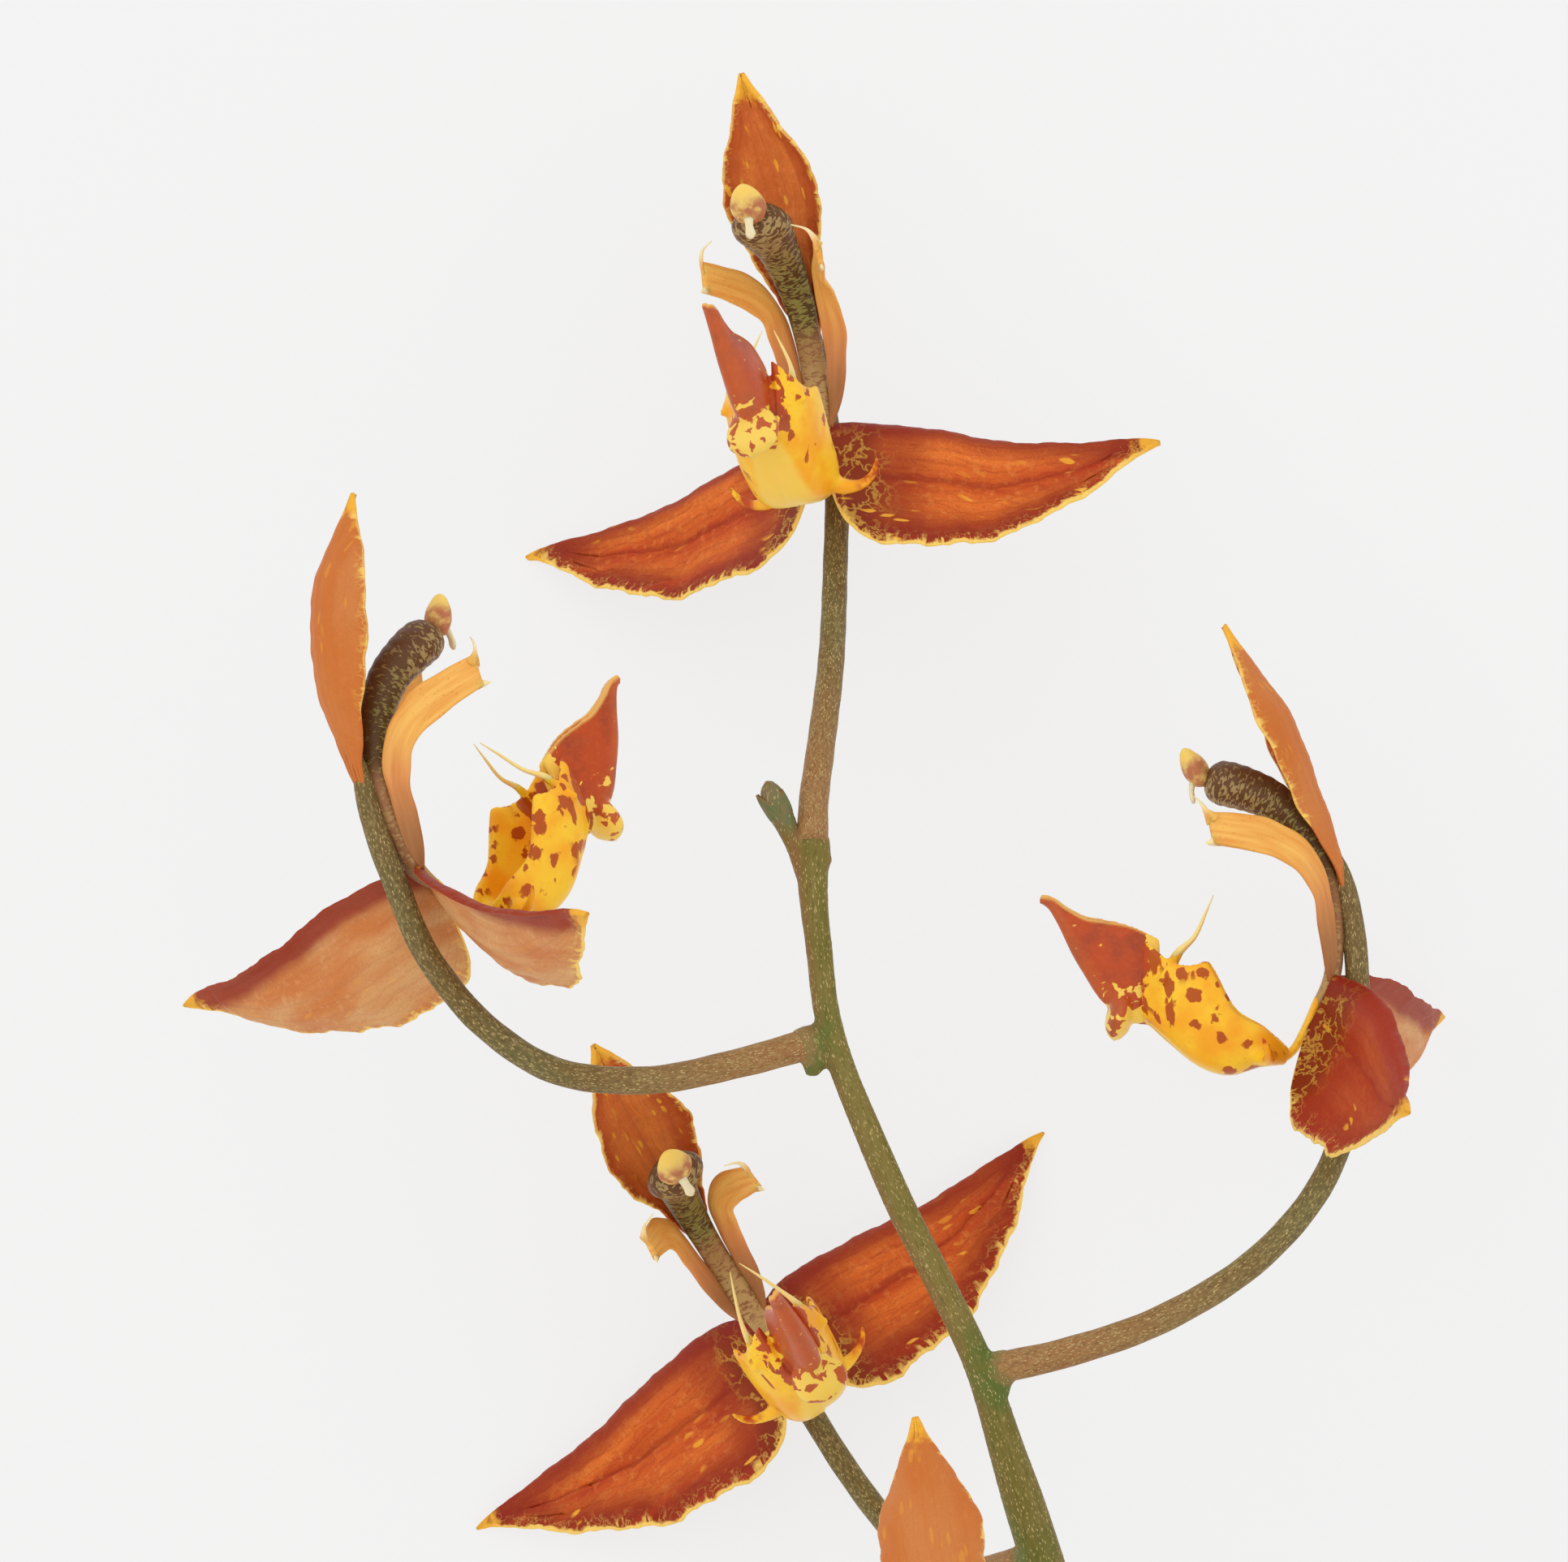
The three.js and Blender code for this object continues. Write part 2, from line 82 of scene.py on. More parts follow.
def along(pairs: Pairs, t: Array, column: int = 1) -> Array:
    """The value of a smooth profile at some places.

    Args:
        pairs: rows of a place and one or more values.
        t: the places to read.
        column: which value of each row, or the last one if a row is shorter.

    Returns:
        One value for each place.
    """
    table = np.asarray([(row[0], row[min(column, len(row) - 1)]) for row in pairs], float)
    x, y = table.T
    t = np.clip(t, x[0], x[-1])
    i = np.clip(np.searchsorted(x, t, side="right") - 1, 0, len(x) - 2)
    span = x[i + 1] - x[i]
    k = (t - x[i]) / span
    before, after = np.maximum(i - 1, 0), np.minimum(i + 2, len(x) - 1)
    m0 = (y[i + 1] - y[before]) / (x[i + 1] - x[before]) * span
    m1 = (y[after] - y[i]) / (x[after] - x[i]) * span
    return ((2 * k**3 - 3 * k**2 + 1) * y[i] + (k**3 - 2 * k**2 + k) * m0
            + (3 * k**2 - 2 * k**3) * y[i + 1] + (k**3 - k**2) * m1)


def ripple(places: Array, seed: int, waves: Pairs) -> Array:
    """An uneven line made of a few waves.

    Args:
        places: where to read it, in mm.
        seed: fixes how far each wave is shifted.
        waves: a wavelength and a height in mm for each wave.

    Returns:
        The height of the line at each place.
    """
    shifts = np.random.default_rng(seed).uniform(0, 2 * np.pi, len(waves))
    return sum(high * np.sin(2 * np.pi * places / long + s) for (long, high), s in zip(waves, shifts))


def smooth_step(value: Array, low: float, high: float) -> Array:
    """0 below low, 1 above high and a smooth rise between them."""
    k = np.clip((value - low) / (high - low), 0, 1)
    return k * k * (3 - 2 * k)


class Route:
    """A smooth curve through some points, read by its length."""

    STEPS = 40
    STEP_ASIDE = 4e-3

    def __init__(self, points: Any) -> None:
        """Draws the curve.

        Args:
            points: the points that it passes, as rows of x, y, z in mm.
        """
        p = np.asarray(points, float)
        padded = np.vstack([2 * p[0] - p[1], p, 2 * p[-1] - p[-2]])
        s = np.linspace(0, 1, self.STEPS, endpoint=False)[:, None]
        spans = [self._span(padded[i:i + 4], s) for i in range(len(p) - 1)]
        self.line = np.vstack([*spans, p[-1:]])
        self.reach = np.concatenate([[0], np.cumsum(np.linalg.norm(np.diff(self.line, axis=0), axis=1))])
        self.length = float(self.reach[-1])

    @staticmethod
    def _span(p: Array, s: Array) -> Array:
        """One span of the curve, between the second and third of four points.

        Args:
            p: the four points.
            s: places along the span, from 0 to 1.

        Returns:
            A point for each place.
        """
        d0, d1, d2 = (max(np.linalg.norm(p[k + 1] - p[k]) ** 0.5, 1e-4) for k in range(3))
        m1 = ((p[1] - p[0]) / d0 - (p[2] - p[0]) / (d0 + d1) + (p[2] - p[1]) / d1) * d1
        m2 = ((p[2] - p[1]) / d1 - (p[3] - p[1]) / (d1 + d2) + (p[3] - p[2]) / d2) * d1
        return (p[1] + m1 * s + (-3 * p[1] + 3 * p[2] - 2 * m1 - m2) * s**2
                + (2 * p[1] - 2 * p[2] + m1 + m2) * s**3)

    def at(self, u: Array) -> Array:
        """The points at some shares of the whole length."""
        return np.stack([np.interp(np.asarray(u) * self.length, self.reach, c) for c in self.line.T], -1)

    def heading(self, u: Array) -> Array:
        """The directions of the curve at some shares of its length."""
        u = np.asarray(u)
        return unit(self.at(np.minimum(u + self.STEP_ASIDE, 1)) - self.at(np.maximum(u - self.STEP_ASIDE, 0)))

    def nearest(self, points: Array, count: int = 400) -> Array:
        """Where along the curve each of some points is nearest.

        Args:
            points: the points, as rows.
            count: how many places along the curve are tried.

        Returns:
            A share of the length for each point.
        """
        shares = np.linspace(0, 1, count)
        line = self.at(shares)
        found = [np.argmin(((block[:, None] - line[None]) ** 2).sum(-1), axis=1)
                 for block in np.array_split(points, max(1, len(points) // 2000))]
        return shares[np.concatenate(found)]


@dataclass
class Skin:
    """A closed surface in the making.

    Attributes:
        points: its points in mm.
        faces: blocks of faces with three or four corners.
        values: numbers or vectors at each point, which its finish reads.
    """

    points: Array
    faces: list[Array]
    values: Values = field(default_factory=dict)

    def outward(self) -> "Skin":
        """The same skin with its faces turned over if they enclose a negative volume."""
        volume = 0.0
        for block in self.faces:
            corners = [self.points[block[:, k]] for k in range(block.shape[1])]
            for k in range(1, block.shape[1] - 1):
                volume += float((corners[0] * np.cross(corners[k], corners[k + 1])).sum())
        if volume < 0:
            self.faces = [block[:, ::-1] for block in self.faces]
        return self

    def placed(self, place: Callable[[Array], Array]) -> "Skin":
        """A copy of the skin whose points are moved by a function."""
        return Skin(place(self.points), [block.copy() for block in self.faces], dict(self.values))

    def mesh(self, name: str) -> bpy.types.Mesh:
        """A new mesh of the skin's points and faces."""
        mesh = bpy.data.meshes.new(name)
        mesh.from_pydata(self.points.tolist(), [], [face for block in self.faces for face in block.tolist()])
        return mesh

    @staticmethod
    def joined(skins: list["Skin"]) -> "Skin":
        """One skin out of several, with 0 for a value that one of them lacks.

        Args:
            skins: the skins to put together.

        Returns:
            The whole.
        """
        names = {name: skin.values[name].shape[1:] for skin in skins for name in skin.values}
        values = {name: np.concatenate([skin.values.get(name, np.zeros((len(skin.points), *shape)))
                                        for skin in skins]) for name, shape in names.items()}
        starts = np.cumsum([0] + [len(skin.points) for skin in skins])
        faces = [block + start for skin, start in zip(skins, starts) for block in skin.faces]
        return Skin(np.concatenate([skin.points for skin in skins]), faces, values)

    @staticmethod
    def wrapped(rings: Array) -> list[Array]:
        """The four-cornered faces between rings of points, each ring closed on itself.

        Args:
            rings: the points, by ring and by place in the ring.

        Returns:
            One block of faces.
        """
        rows, sides = rings.shape[:2]
        a = (np.arange(rows - 1)[:, None] * sides + np.arange(sides)[None]).ravel()
        b = (np.arange(rows - 1)[:, None] * sides + (np.arange(sides)[None] + 1) % sides).ravel()
        return [np.stack([a, b, b + sides, a + sides], -1)]


@dataclass(frozen=True)
class Limb:
    """A closed round or oval limb.

    Attributes:
        route: the points of its middle line.
        radii: rows of a share of the length, a half width and perhaps a half depth.
        rows: the number of rings.
        sides: the number of points in a ring.
        across: which way the half width is measured.
        dome: how far an end bulges, as a share of its radius.
    """

    route: Any
    radii: Pairs
    rows: int
    sides: int
    across: Triple = (1, 0, 0)
    dome: float = 0.3

    def line(self, side: int = 1) -> Route:
        """The middle line, or its mirror image if side is -1."""
        return Route(np.asarray(self.route, float) * (side, 1, 1))

    def skin(self, side: int = 1, swell: Surface | None = None) -> Skin:
        """The limb's surface.

        Args:
            side: -1 for the limb's mirror image.
            swell: a factor on the radius for each share and angle, if any.

        Returns:
            Its skin, with its place along and round the limb and its heading.
        """
        route = self.line(side)
        u = np.linspace(0, 1, self.rows)
        centre, heading = route.at(u), route.heading(u)
        reference = np.broadcast_to(np.asarray(self.across, float), heading.shape)
        beside = unit(reference - heading * (heading * reference).sum(-1, keepdims=True))
        depth = np.cross(heading, beside)
        angle = np.linspace(0, 2 * np.pi, self.sides, endpoint=False)[None]
        factor = swell(u[:, None], angle) if swell else np.ones((self.rows, self.sides))
        x = along(self.radii, u)[:, None] * np.cos(angle) * factor
        y = along(self.radii, u, 2)[:, None] * np.sin(angle) * factor
        rings = centre[:, None] + beside[:, None] * x[..., None] + depth[:, None] * y[..., None]
        last, k = self.rows * self.sides, np.arange(self.sides)
        after, top = (k + 1) % self.sides, last - self.sides
        faces = [*Skin.wrapped(rings), np.stack([np.full(self.sides, last), after, k], -1),
                 np.stack([np.full(self.sides, last + 1), top + k, top + after], -1)]
        poles = np.stack([centre[0] - heading[0] * self.dome * self.radii[0][1],
                          centre[-1] + heading[-1] * self.dome * self.radii[-1][1]])
        length = np.broadcast_to(u[:, None] * route.length, x.shape)
        ways = np.broadcast_to(heading[:, None], rings.shape).reshape(-1, 3)
        values = {
            "grow": np.vstack([np.stack([length, x, y], -1).reshape(-1, 3), (0, 0, 0), (route.length, 0, 0)]),
            "way": np.vstack([ways, heading[0], heading[-1]]),
            "share": np.concatenate([np.broadcast_to(u[:, None], x.shape).ravel(), [0, 1]]),
            "face": np.concatenate([np.broadcast_to(np.sin(angle), x.shape).ravel(), [0, 0]]),
        }
        return Skin(np.vstack([rings.reshape(-1, 3), poles]), faces, values).outward()


def sheet(surface: Surface, thickness: float, rows: int, cols: int, inner_way: Triple,
          values: Callable[[Array, Array], Values] | None = None, edge_power: float = 10) -> Skin:
    """A closed leaf with rounded edges round a curved middle surface.

    Args:
        surface: the middle surface, from shares along and across to points.
        thickness: the full thickness in mm.
        rows: the number of points along.
        cols: the number of points across.
        inner_way: a direction that the leaf's inner face looks towards.
        values: what its finish reads, from the same shares.
        edge_power: how late the thickness falls off towards the edge.

    Returns:
        The leaf's skin, with outer 0 on its inner face and 1 on its outer one.
    """
    s = np.linspace(0, 1, cols)
    v, u = 0.4 * s + 0.3 * (1 - np.cos(np.pi * s)), np.linspace(0, 1, rows)
    u, v = np.meshgrid(u, v, indexing="ij")
    reach = 2e-3
    du = surface(np.minimum(u + reach, 1), v) - surface(np.maximum(u - reach, 0), v)
    dv = surface(u, np.minimum(v + reach, 1)) - surface(u, np.maximum(v - reach, 0))
    normal = unit(np.cross(du, dv))
    if (normal @ np.asarray(inner_way, float)).mean() < 0:
        normal = -normal
    half = thickness / 2 * np.sqrt(np.clip(1 - np.abs(2 * v - 1) ** edge_power, 0, 1))
    middle = surface(u, v)
    inner, outer = middle + normal * half[..., None], middle - normal * half[..., None]
    rings = np.concatenate([inner, outer[:, -2:0:-1]], axis=1)
    given = values(u, v) if values else {}
    round_trip = {name: np.concatenate([g, g[:, -2:0:-1]], axis=1) for name, g in given.items()}
    back = np.zeros((rows, rings.shape[1]))
    back[:, cols:] = 1
    back[:, (0, cols - 1)] = 0.5
    round_trip["outer"] = back
    faces = Skin.wrapped(rings)
    ring = rings.shape[1]
    j = np.arange(1, cols - 2)
    cap = np.stack([j, j + 1, ring - j - 1, ring - j], -1)
    points = np.array([[0, 1, ring - 1], [cols - 2, cols - 1, cols]])
    top = (rows - 1) * ring
    faces += [cap[:, ::-1], cap + top, points[:, ::-1], points + top]
    flat = {name: g.reshape(-1, *g.shape[2:]) for name, g in round_trip.items()}
    return Skin(rings.reshape(-1, 3), faces, flat).outward()


def add_object(name: str, data: Any) -> bpy.types.Object:
    """A new object of the scene that shows a mesh, a light or a camera."""
    made = bpy.data.objects.new(name, data)
    bpy.context.scene.collection.objects.link(made)
    return made


def evaluated(work: bpy.types.Object) -> bpy.types.Mesh:
    """A plain mesh of what an object's modifiers make of it."""
    return bpy.data.meshes.new_from_object(work.evaluated_get(bpy.context.evaluated_depsgraph_get()))


def fused(skins: list[Skin], voxel: float, rounds: int, name: str) -> Skin:
    """Several overlapping skins grown together into one smooth skin.

    Args:
        skins: the closed skins.
        voxel: the size of a step of the new surface in mm.
        rounds: how often it is smoothed.
        name: a name for the work.

    Returns:
        The new skin, with no values.
    """
    work = add_object(name, Skin.joined(skins).mesh(name))
    remesh = work.modifiers.new("grown together", "REMESH")
    remesh.mode, remesh.voxel_size = "VOXEL", voxel
    soften = work.modifiers.new("softened", "SMOOTH")
    soften.factor, soften.iterations = 0.5, rounds
    result = evaluated(work)
    points = np.empty(len(result.vertices) * 3)
    result.vertices.foreach_get("co", points)
    corners = [tuple(face.vertices) for face in result.polygons]
    blocks = [[c for c in corners if len(c) == count] for count in (3, 4)]
    spent = (work.data, result)
    bpy.data.objects.remove(work)
    for mesh in spent:
        bpy.data.meshes.remove(mesh)
    return Skin(points.reshape(-1, 3), [np.array(block) for block in blocks if block]).outward()


def make_piece(name: str, skin: Skin, material: bpy.types.Material, slot: str,
               nodes: tuple[str, ...]) -> bpy.types.Object:
    """Makes a piece of the object out of a skin, and tells the frame about it.

    Args:
        name: the piece's name.
        skin: its surface in the stem's frame, in mm.
        material: its finish.
        slot: the record's material slot.
        nodes: the CAD nodes that it stands for.

    Returns:
        The piece.
    """
    mesh = skin.placed(lambda points: (points + SHIFT) * MM).mesh(name)
    for key, value in skin.values.items():
        kind, target = ("FLOAT", "value") if value.ndim == 1 else ("FLOAT_VECTOR", "vector")
        mesh.attributes.new(key, kind, "POINT").data.foreach_set(target, value.astype(np.float32).ravel())
    mesh.shade_smooth()
    mesh.materials.append(material)
    piece = add_object(name, mesh)
    register(piece, slot, nodes)
    return piece


def register(piece: bpy.types.Object, slot: str, nodes: tuple[str, ...]) -> None:
    """Tells the frame what a piece rides on and stands for.

    Args:
        piece: the piece.
        slot: not used.
        nodes: the CAD nodes that it stands for.
    """
    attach(piece, BODY)
    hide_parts(*nodes)
    log.info("%s: %d points", piece.name, len(piece.data.vertices))


@dataclass(frozen=True)
class Flower:
    """One flower of the stem.

    Attributes:
        name: what the names of its pieces and CAD nodes start with.
        at: its origin, in the stem's frame.
        lip: which way its lip looks.
        up: which way its column points.
        bow: how far its dorsal sepal bows back, in mm.
        tips: the tips of its left and right sepals, in its own frame.
        stalk: the points that its stalk passes on the way to the stem.
        root: where its stalk meets the stem.
        seed: sets its small unevennesses.
        size: its size beside the others.
        flush: how red its sepals are inside, from 0 to 1.
        marked: how large its lip's spots are, from 0 to 1.
        petal_turns: how much further its left and right petals twist, in radians.
    """

    name: str
    at: Triple
    lip: Triple
    up: Triple
    bow: float
    tips: tuple[Triple, Triple]
    stalk: tuple[Triple, ...]
    root: Triple
    seed: int
    size: float = 1.0
    flush: float = 0.0
    marked: float = 1.0
    petal_turns: tuple[float, float] = (0.0, 0.0)

    def place(self, points: Array) -> Array:
        """Moves points of the flower's own frame to where they are on the stem.

        Args:
            points: the points, as rows.

        Returns:
            The points in the stem's frame.
        """
        forward = unit(np.asarray(self.lip, float))
        up = np.asarray(self.up, float)
        up = unit(up - forward * (up @ forward))
        return points @ (np.stack([np.cross(up, forward), up, forward]) * self.size) + np.asarray(self.at)


FLOWERS = (
    Flower("top", (-0.5, 31.6, -12), (-0.35, 0.1, 0.93), (-0.12, 0.98, -0.15), -0.8,
           ((-26.5, -9.3, -13.3), (23.8, -9.7, -13.3)),
           ((3.75, 15.6, -16.5), (3.4, 8.6, -10.5), (2.6, 2.2, -4.8), (2.1, -1.6, -1.4)), (2.05, -3.35, -0.1),
           11,
           marked=0.2, petal_turns=(0.0, 0.7)),
    Flower("left", (-22, 1.3, 9), (0.77, 0.39, -0.5), (-0.41, 0.91, 0.08), 1.0,
           ((-23.6, -11.0, -9.1), (26.0, -8.4, -15.2)),
           ((-23.9, -13.1, 13), (-20.8, -16.8, 12.2), (-15.9, -20.1, 9.8), (-9.6, -20.9, 7.0),
            (-3.4, -19.9, 3.4)), (0.55, -18.9, 1.3), 23),
    Flower("right", (32.05, -9.1, -6), (-1, 0, -0.08), (0, 1, -0.02), -0.8,
           ((-27.3, -8.1, -15.4), (22.0, -14.0, -12.4)),
           ((38.8, -27.6, -2.4), (33.8, -33.6, 0.2), (26.6, -38.0, 1.8), (19.8, -40.4, 1.5)),
           (16.5, -41.2, 0.9), 37, flush=0.8),
    Flower("lower", (-3.3, -35.9, -14), (0.22, -0.09, 0.97), (-0.52, 0.83, 0.2), -0.6,
           ((-25.1, -10.1, -19.7), (26.4, -7.6, -13.1)),
           ((4.5, -50.9, -24.4), (8.2, -55.4, -20.6), (11.8, -57.6, -13.6), (14.6, -56.6, -6.2)),
           (16.5, -55.6, -2.1), 41, marked=0.2),
    Flower("front", (12.9, -64.2, 18), (0.15, 0.05, -0.985), (-0.19, 0.98, 0.02), -0.4,
           ((-24.4, -7.8, -14.6), (24.4, -7.8, -14.6)),
           ((13.2, -83.0, 24.8), (17.6, -88.0, 18.0), (21.5, -88.0, 9.5), (24.4, -86.6, 2.2)),
           (25.7, -85.5, -1.7), 59, 1.04),
)


def linear(code: str) -> tuple[float, float, float, float]:
    """A colour for a shader from the six digits that a picture would show."""
    shown = [int(code[i:i + 2], 16) / 255 for i in (0, 2, 4)]
    return (*[c / 12.92 if c <= 0.04045 else ((c + 0.055) / 1.055) ** 2.4 for c in shown], 1.0)


class Paint:
    """Adds nodes to one material or node group, and links them."""

    def __init__(self, tree: bpy.types.NodeTree) -> None:
        """Works on a tree."""
        self.tree = tree

    def node(self, kind: str, inputs: dict[Any, Any] | None = None, **settings: Any) -> bpy.types.Node:
        """Adds one node.

        Args:
            kind: Blender's name for it.
            inputs: what goes into its sockets, by name or place.
            settings: its own settings.

        Returns:
            The node.
        """
        node = self.tree.nodes.new(kind)
        for key, value in settings.items():
            setattr(node, key, value)
        for key, value in (inputs or {}).items():
            self.feed(node.inputs[key], value)
        return node

    def feed(self, socket: Socket, value: Any) -> None:
        """Links a socket to another one, or sets it to a plain value."""
        if isinstance(value, Socket):
            self.tree.links.new(value, socket)
        else:
            socket.default_value = value

    def maths(self, operation: str, *values: Any, clamp: bool = False) -> Socket:
        """The result of a sum on numbers."""
        return self.node("ShaderNodeMath", dict(enumerate(values)), operation=operation,
                         use_clamp=clamp).outputs[0]

    def product(self, *values: Any) -> Socket:
        """The product of several numbers."""
        result = values[0]
        for value in values[1:]:
            result = self.maths("MULTIPLY", result, value)
        return result

    def away(self, value: Any, middle: float) -> Socket:
        """How far a number is from another one."""
        return self.maths("ABSOLUTE", self.maths("SUBTRACT", value, middle))

    def blend(self, factor: Any, first: Any, second: Any) -> Socket:
        """A colour between two colours."""
        first, second = (linear(colour) if isinstance(colour, str) else colour for colour in (first, second))
        return self.node("ShaderNodeMix", {0: factor, 6: first, 7: second}, data_type="RGBA").outputs[2]

    def over(self, colour: Any, layer: Any, *strengths: Any) -> Socket:
        """A colour under a layer of another one, which is as strong as the product of some numbers."""
        return self.blend(self.product(*strengths), colour, layer)

    def rise(self, value: Any, low: float, high: float) -> Socket:
        """0 up to low, 1 from high on, smooth between."""
        return self.node("ShaderNodeMapRange", {0: value, 1: low, 2: high},
                         interpolation_type="SMOOTHSTEP").outputs[0]

    def fall(self, value: Any, full: float, gone: float) -> Socket:
        """1 up to full, 0 from gone on, smooth between."""
        return self.node("ShaderNodeMapRange", {0: value, 1: full, 2: gone, 3: 1.0, 4: 0.0},
                         interpolation_type="SMOOTHSTEP").outputs[0]

    def stretched(self, vector: Any, factors: Triple) -> Socket:
        """A vector with each part multiplied."""
        return self.node("ShaderNodeVectorMath", {0: vector, 1: factors}, operation="MULTIPLY").outputs[0]

    def noise(self, vector: Any, scale: float, detail: float = 2.0, distortion: float = 0.0) -> Socket:
        """Soft noise from 0 to 1."""
        inputs = {"Vector": vector, "Scale": scale, "Detail": detail, "Distortion": distortion}
        return self.node("ShaderNodeTexNoise", inputs).outputs[0]

    def streaks(self, vector: Any, factors: Triple, detail: float = 2.0, distortion: float = 0.0) -> Socket:
        """Soft noise from 0 to 1, drawn out where a factor is small."""
        return self.noise(self.stretched(vector, factors), 1.0, detail, distortion)

    def number(self, name: str) -> Socket:
        """A number that the mesh carries at its points."""
        return self.node("ShaderNodeAttribute", attribute_name=name).outputs["Fac"]

    def vector(self, name: str) -> Socket:
        """A vector that the mesh carries at its points."""
        return self.node("ShaderNodeAttribute", attribute_name=name).outputs["Vector"]

    def effect(self, group: bpy.types.NodeTree, **inputs: Any) -> Socket:
        """The output of a shared effect, placed here with its own values.

        Args:
            group: the effect.
            inputs: what goes into its inputs, by their names.

        Returns:
            Its output.
        """
        node = self.node("ShaderNodeGroup", node_tree=group)
        for name, value in inputs.items():
            self.feed(node.inputs[name], value)
        return node.outputs[0]

    def bumped(self, height: Any, depth: float) -> Socket:
        """A normal from a height.

        Args:
            height: the height from 0 to 1.
            depth: what a height of 1 is, in mm.

        Returns:
            The normal.
        """
        return self.node("ShaderNodeBump",
                         {"Height": height, "Distance": depth * MM, "Strength": 1.0}).outputs[0]


class Effects:
    """The effects that more than one finish uses, each a node group made once."""

    def __init__(self) -> None:
        """Makes the groups."""
        self.blotches = self._cells("blotches", "Size", 0.3)
        self.net = self._cells("net", "Width", 0.1, feature="DISTANCE_TO_EDGE")
        self.skin = self._skin()

    def height(self, paint: Paint, grow: Any) -> Socket:
        """The height of plant skin where a mesh carries its place as grow."""
        return paint.effect(self.skin, Vector=grow, Cells=6.5, Uneven=0.8)

    @staticmethod
    def _begin(name: str, output: str, **inputs: float) -> tuple[Paint, dict[str, Any], bpy.types.Node]:
        """Starts a group with a vector input, some number inputs and one output.

        Args:
            name: the group's name.
            output: its output's name.
            inputs: its numbers and what they are to start with.

        Returns:
            A paint for the group, its inputs by name, and its output node.
        """
        tree = bpy.data.node_groups.new(name, "ShaderNodeTree")
        tree.interface.new_socket(name="Vector", in_out="INPUT", socket_type="NodeSocketVector")
        for key, value in inputs.items():
            socket = tree.interface.new_socket(name=key, in_out="INPUT", socket_type="NodeSocketFloat")
            socket.default_value = value
        tree.interface.new_socket(name=output, in_out="OUTPUT", socket_type="NodeSocketFloat")
        paint = Paint(tree)
        given = paint.node("NodeGroupInput").outputs
        return paint, {socket.name: socket for socket in given if socket.name}, paint.node("NodeGroupOutput")

    def _cells(self, name: str, reach: str, usual: float, **settings: str) -> bpy.types.NodeTree:
        """A group that puts out 1 where a ragged cell pattern's distance stays under a reach.

        Args:
            name: the group's name.
            reach: the name of the input that holds the reach.
            usual: what the reach is to start with.
            settings: the cell pattern's own settings.

        Returns:
            The group.
        """
        paint, given, out = self._begin(name, "Mask", Scale=1.0, **{reach: usual}, Ragged=0.4, Soft=0.05)
        noise = paint.node("ShaderNodeTexNoise", {"Vector": given["Vector"], "Scale": 1.7, "Detail": 2.0})
        centred = paint.node("ShaderNodeVectorMath", {0: noise.outputs["Color"], 1: (0.5, 0.5, 0.5)},
                             operation="SUBTRACT").outputs[0]
        push = paint.node("ShaderNodeVectorMath", {0: centred, "Scale": given["Ragged"]},
                          operation="SCALE").outputs[0]
        warped = paint.node("ShaderNodeVectorMath", {0: given["Vector"], 1: push}, operation="ADD").outputs[0]
        cells = paint.node("ShaderNodeTexVoronoi", {"Vector": warped, "Scale": given["Scale"]}, **settings)
        edge = paint.maths("SUBTRACT", given[reach], cells.outputs["Distance"])
        paint.feed(out.inputs[0], paint.maths("DIVIDE", edge, given["Soft"], clamp=True))
        return paint.tree

    def _skin(self) -> bpy.types.NodeTree:
        """The height of plant skin: fine cells on a softer unevenness."""
        paint, given, out = self._begin("plant skin", "Height", Cells=7.0, Uneven=0.9)
        cells = paint.node("ShaderNodeTexVoronoi", {"Vector": given["Vector"], "Scale": given["Cells"]})
        soft = paint.node("ShaderNodeTexNoise",
                          {"Vector": given["Vector"], "Scale": given["Uneven"], "Detail": 3.0})
        high = paint.maths("MULTIPLY_ADD", cells.outputs["Distance"], -0.35, soft.outputs[0])
        paint.feed(out.inputs[0], paint.maths("ADD", high, 0.2, clamp=True))
        return paint.tree


def plain_material(name: str, settings: dict[str, Any]) -> tuple[bpy.types.Material, bpy.types.Node]:
    """A new material and its shader.

    Args:
        name: the material's name.
        settings: values for the shader's sockets, by their names.

    Returns:
        The material, and its shader with these values.
    """
    material = bpy.data.materials.new(name)
    material.use_nodes = True
    shader = next(node for node in material.node_tree.nodes if node.type == "BSDF_PRINCIPLED")
    for key, value in settings.items():
        shader.inputs[key].default_value = value
    return material, shader


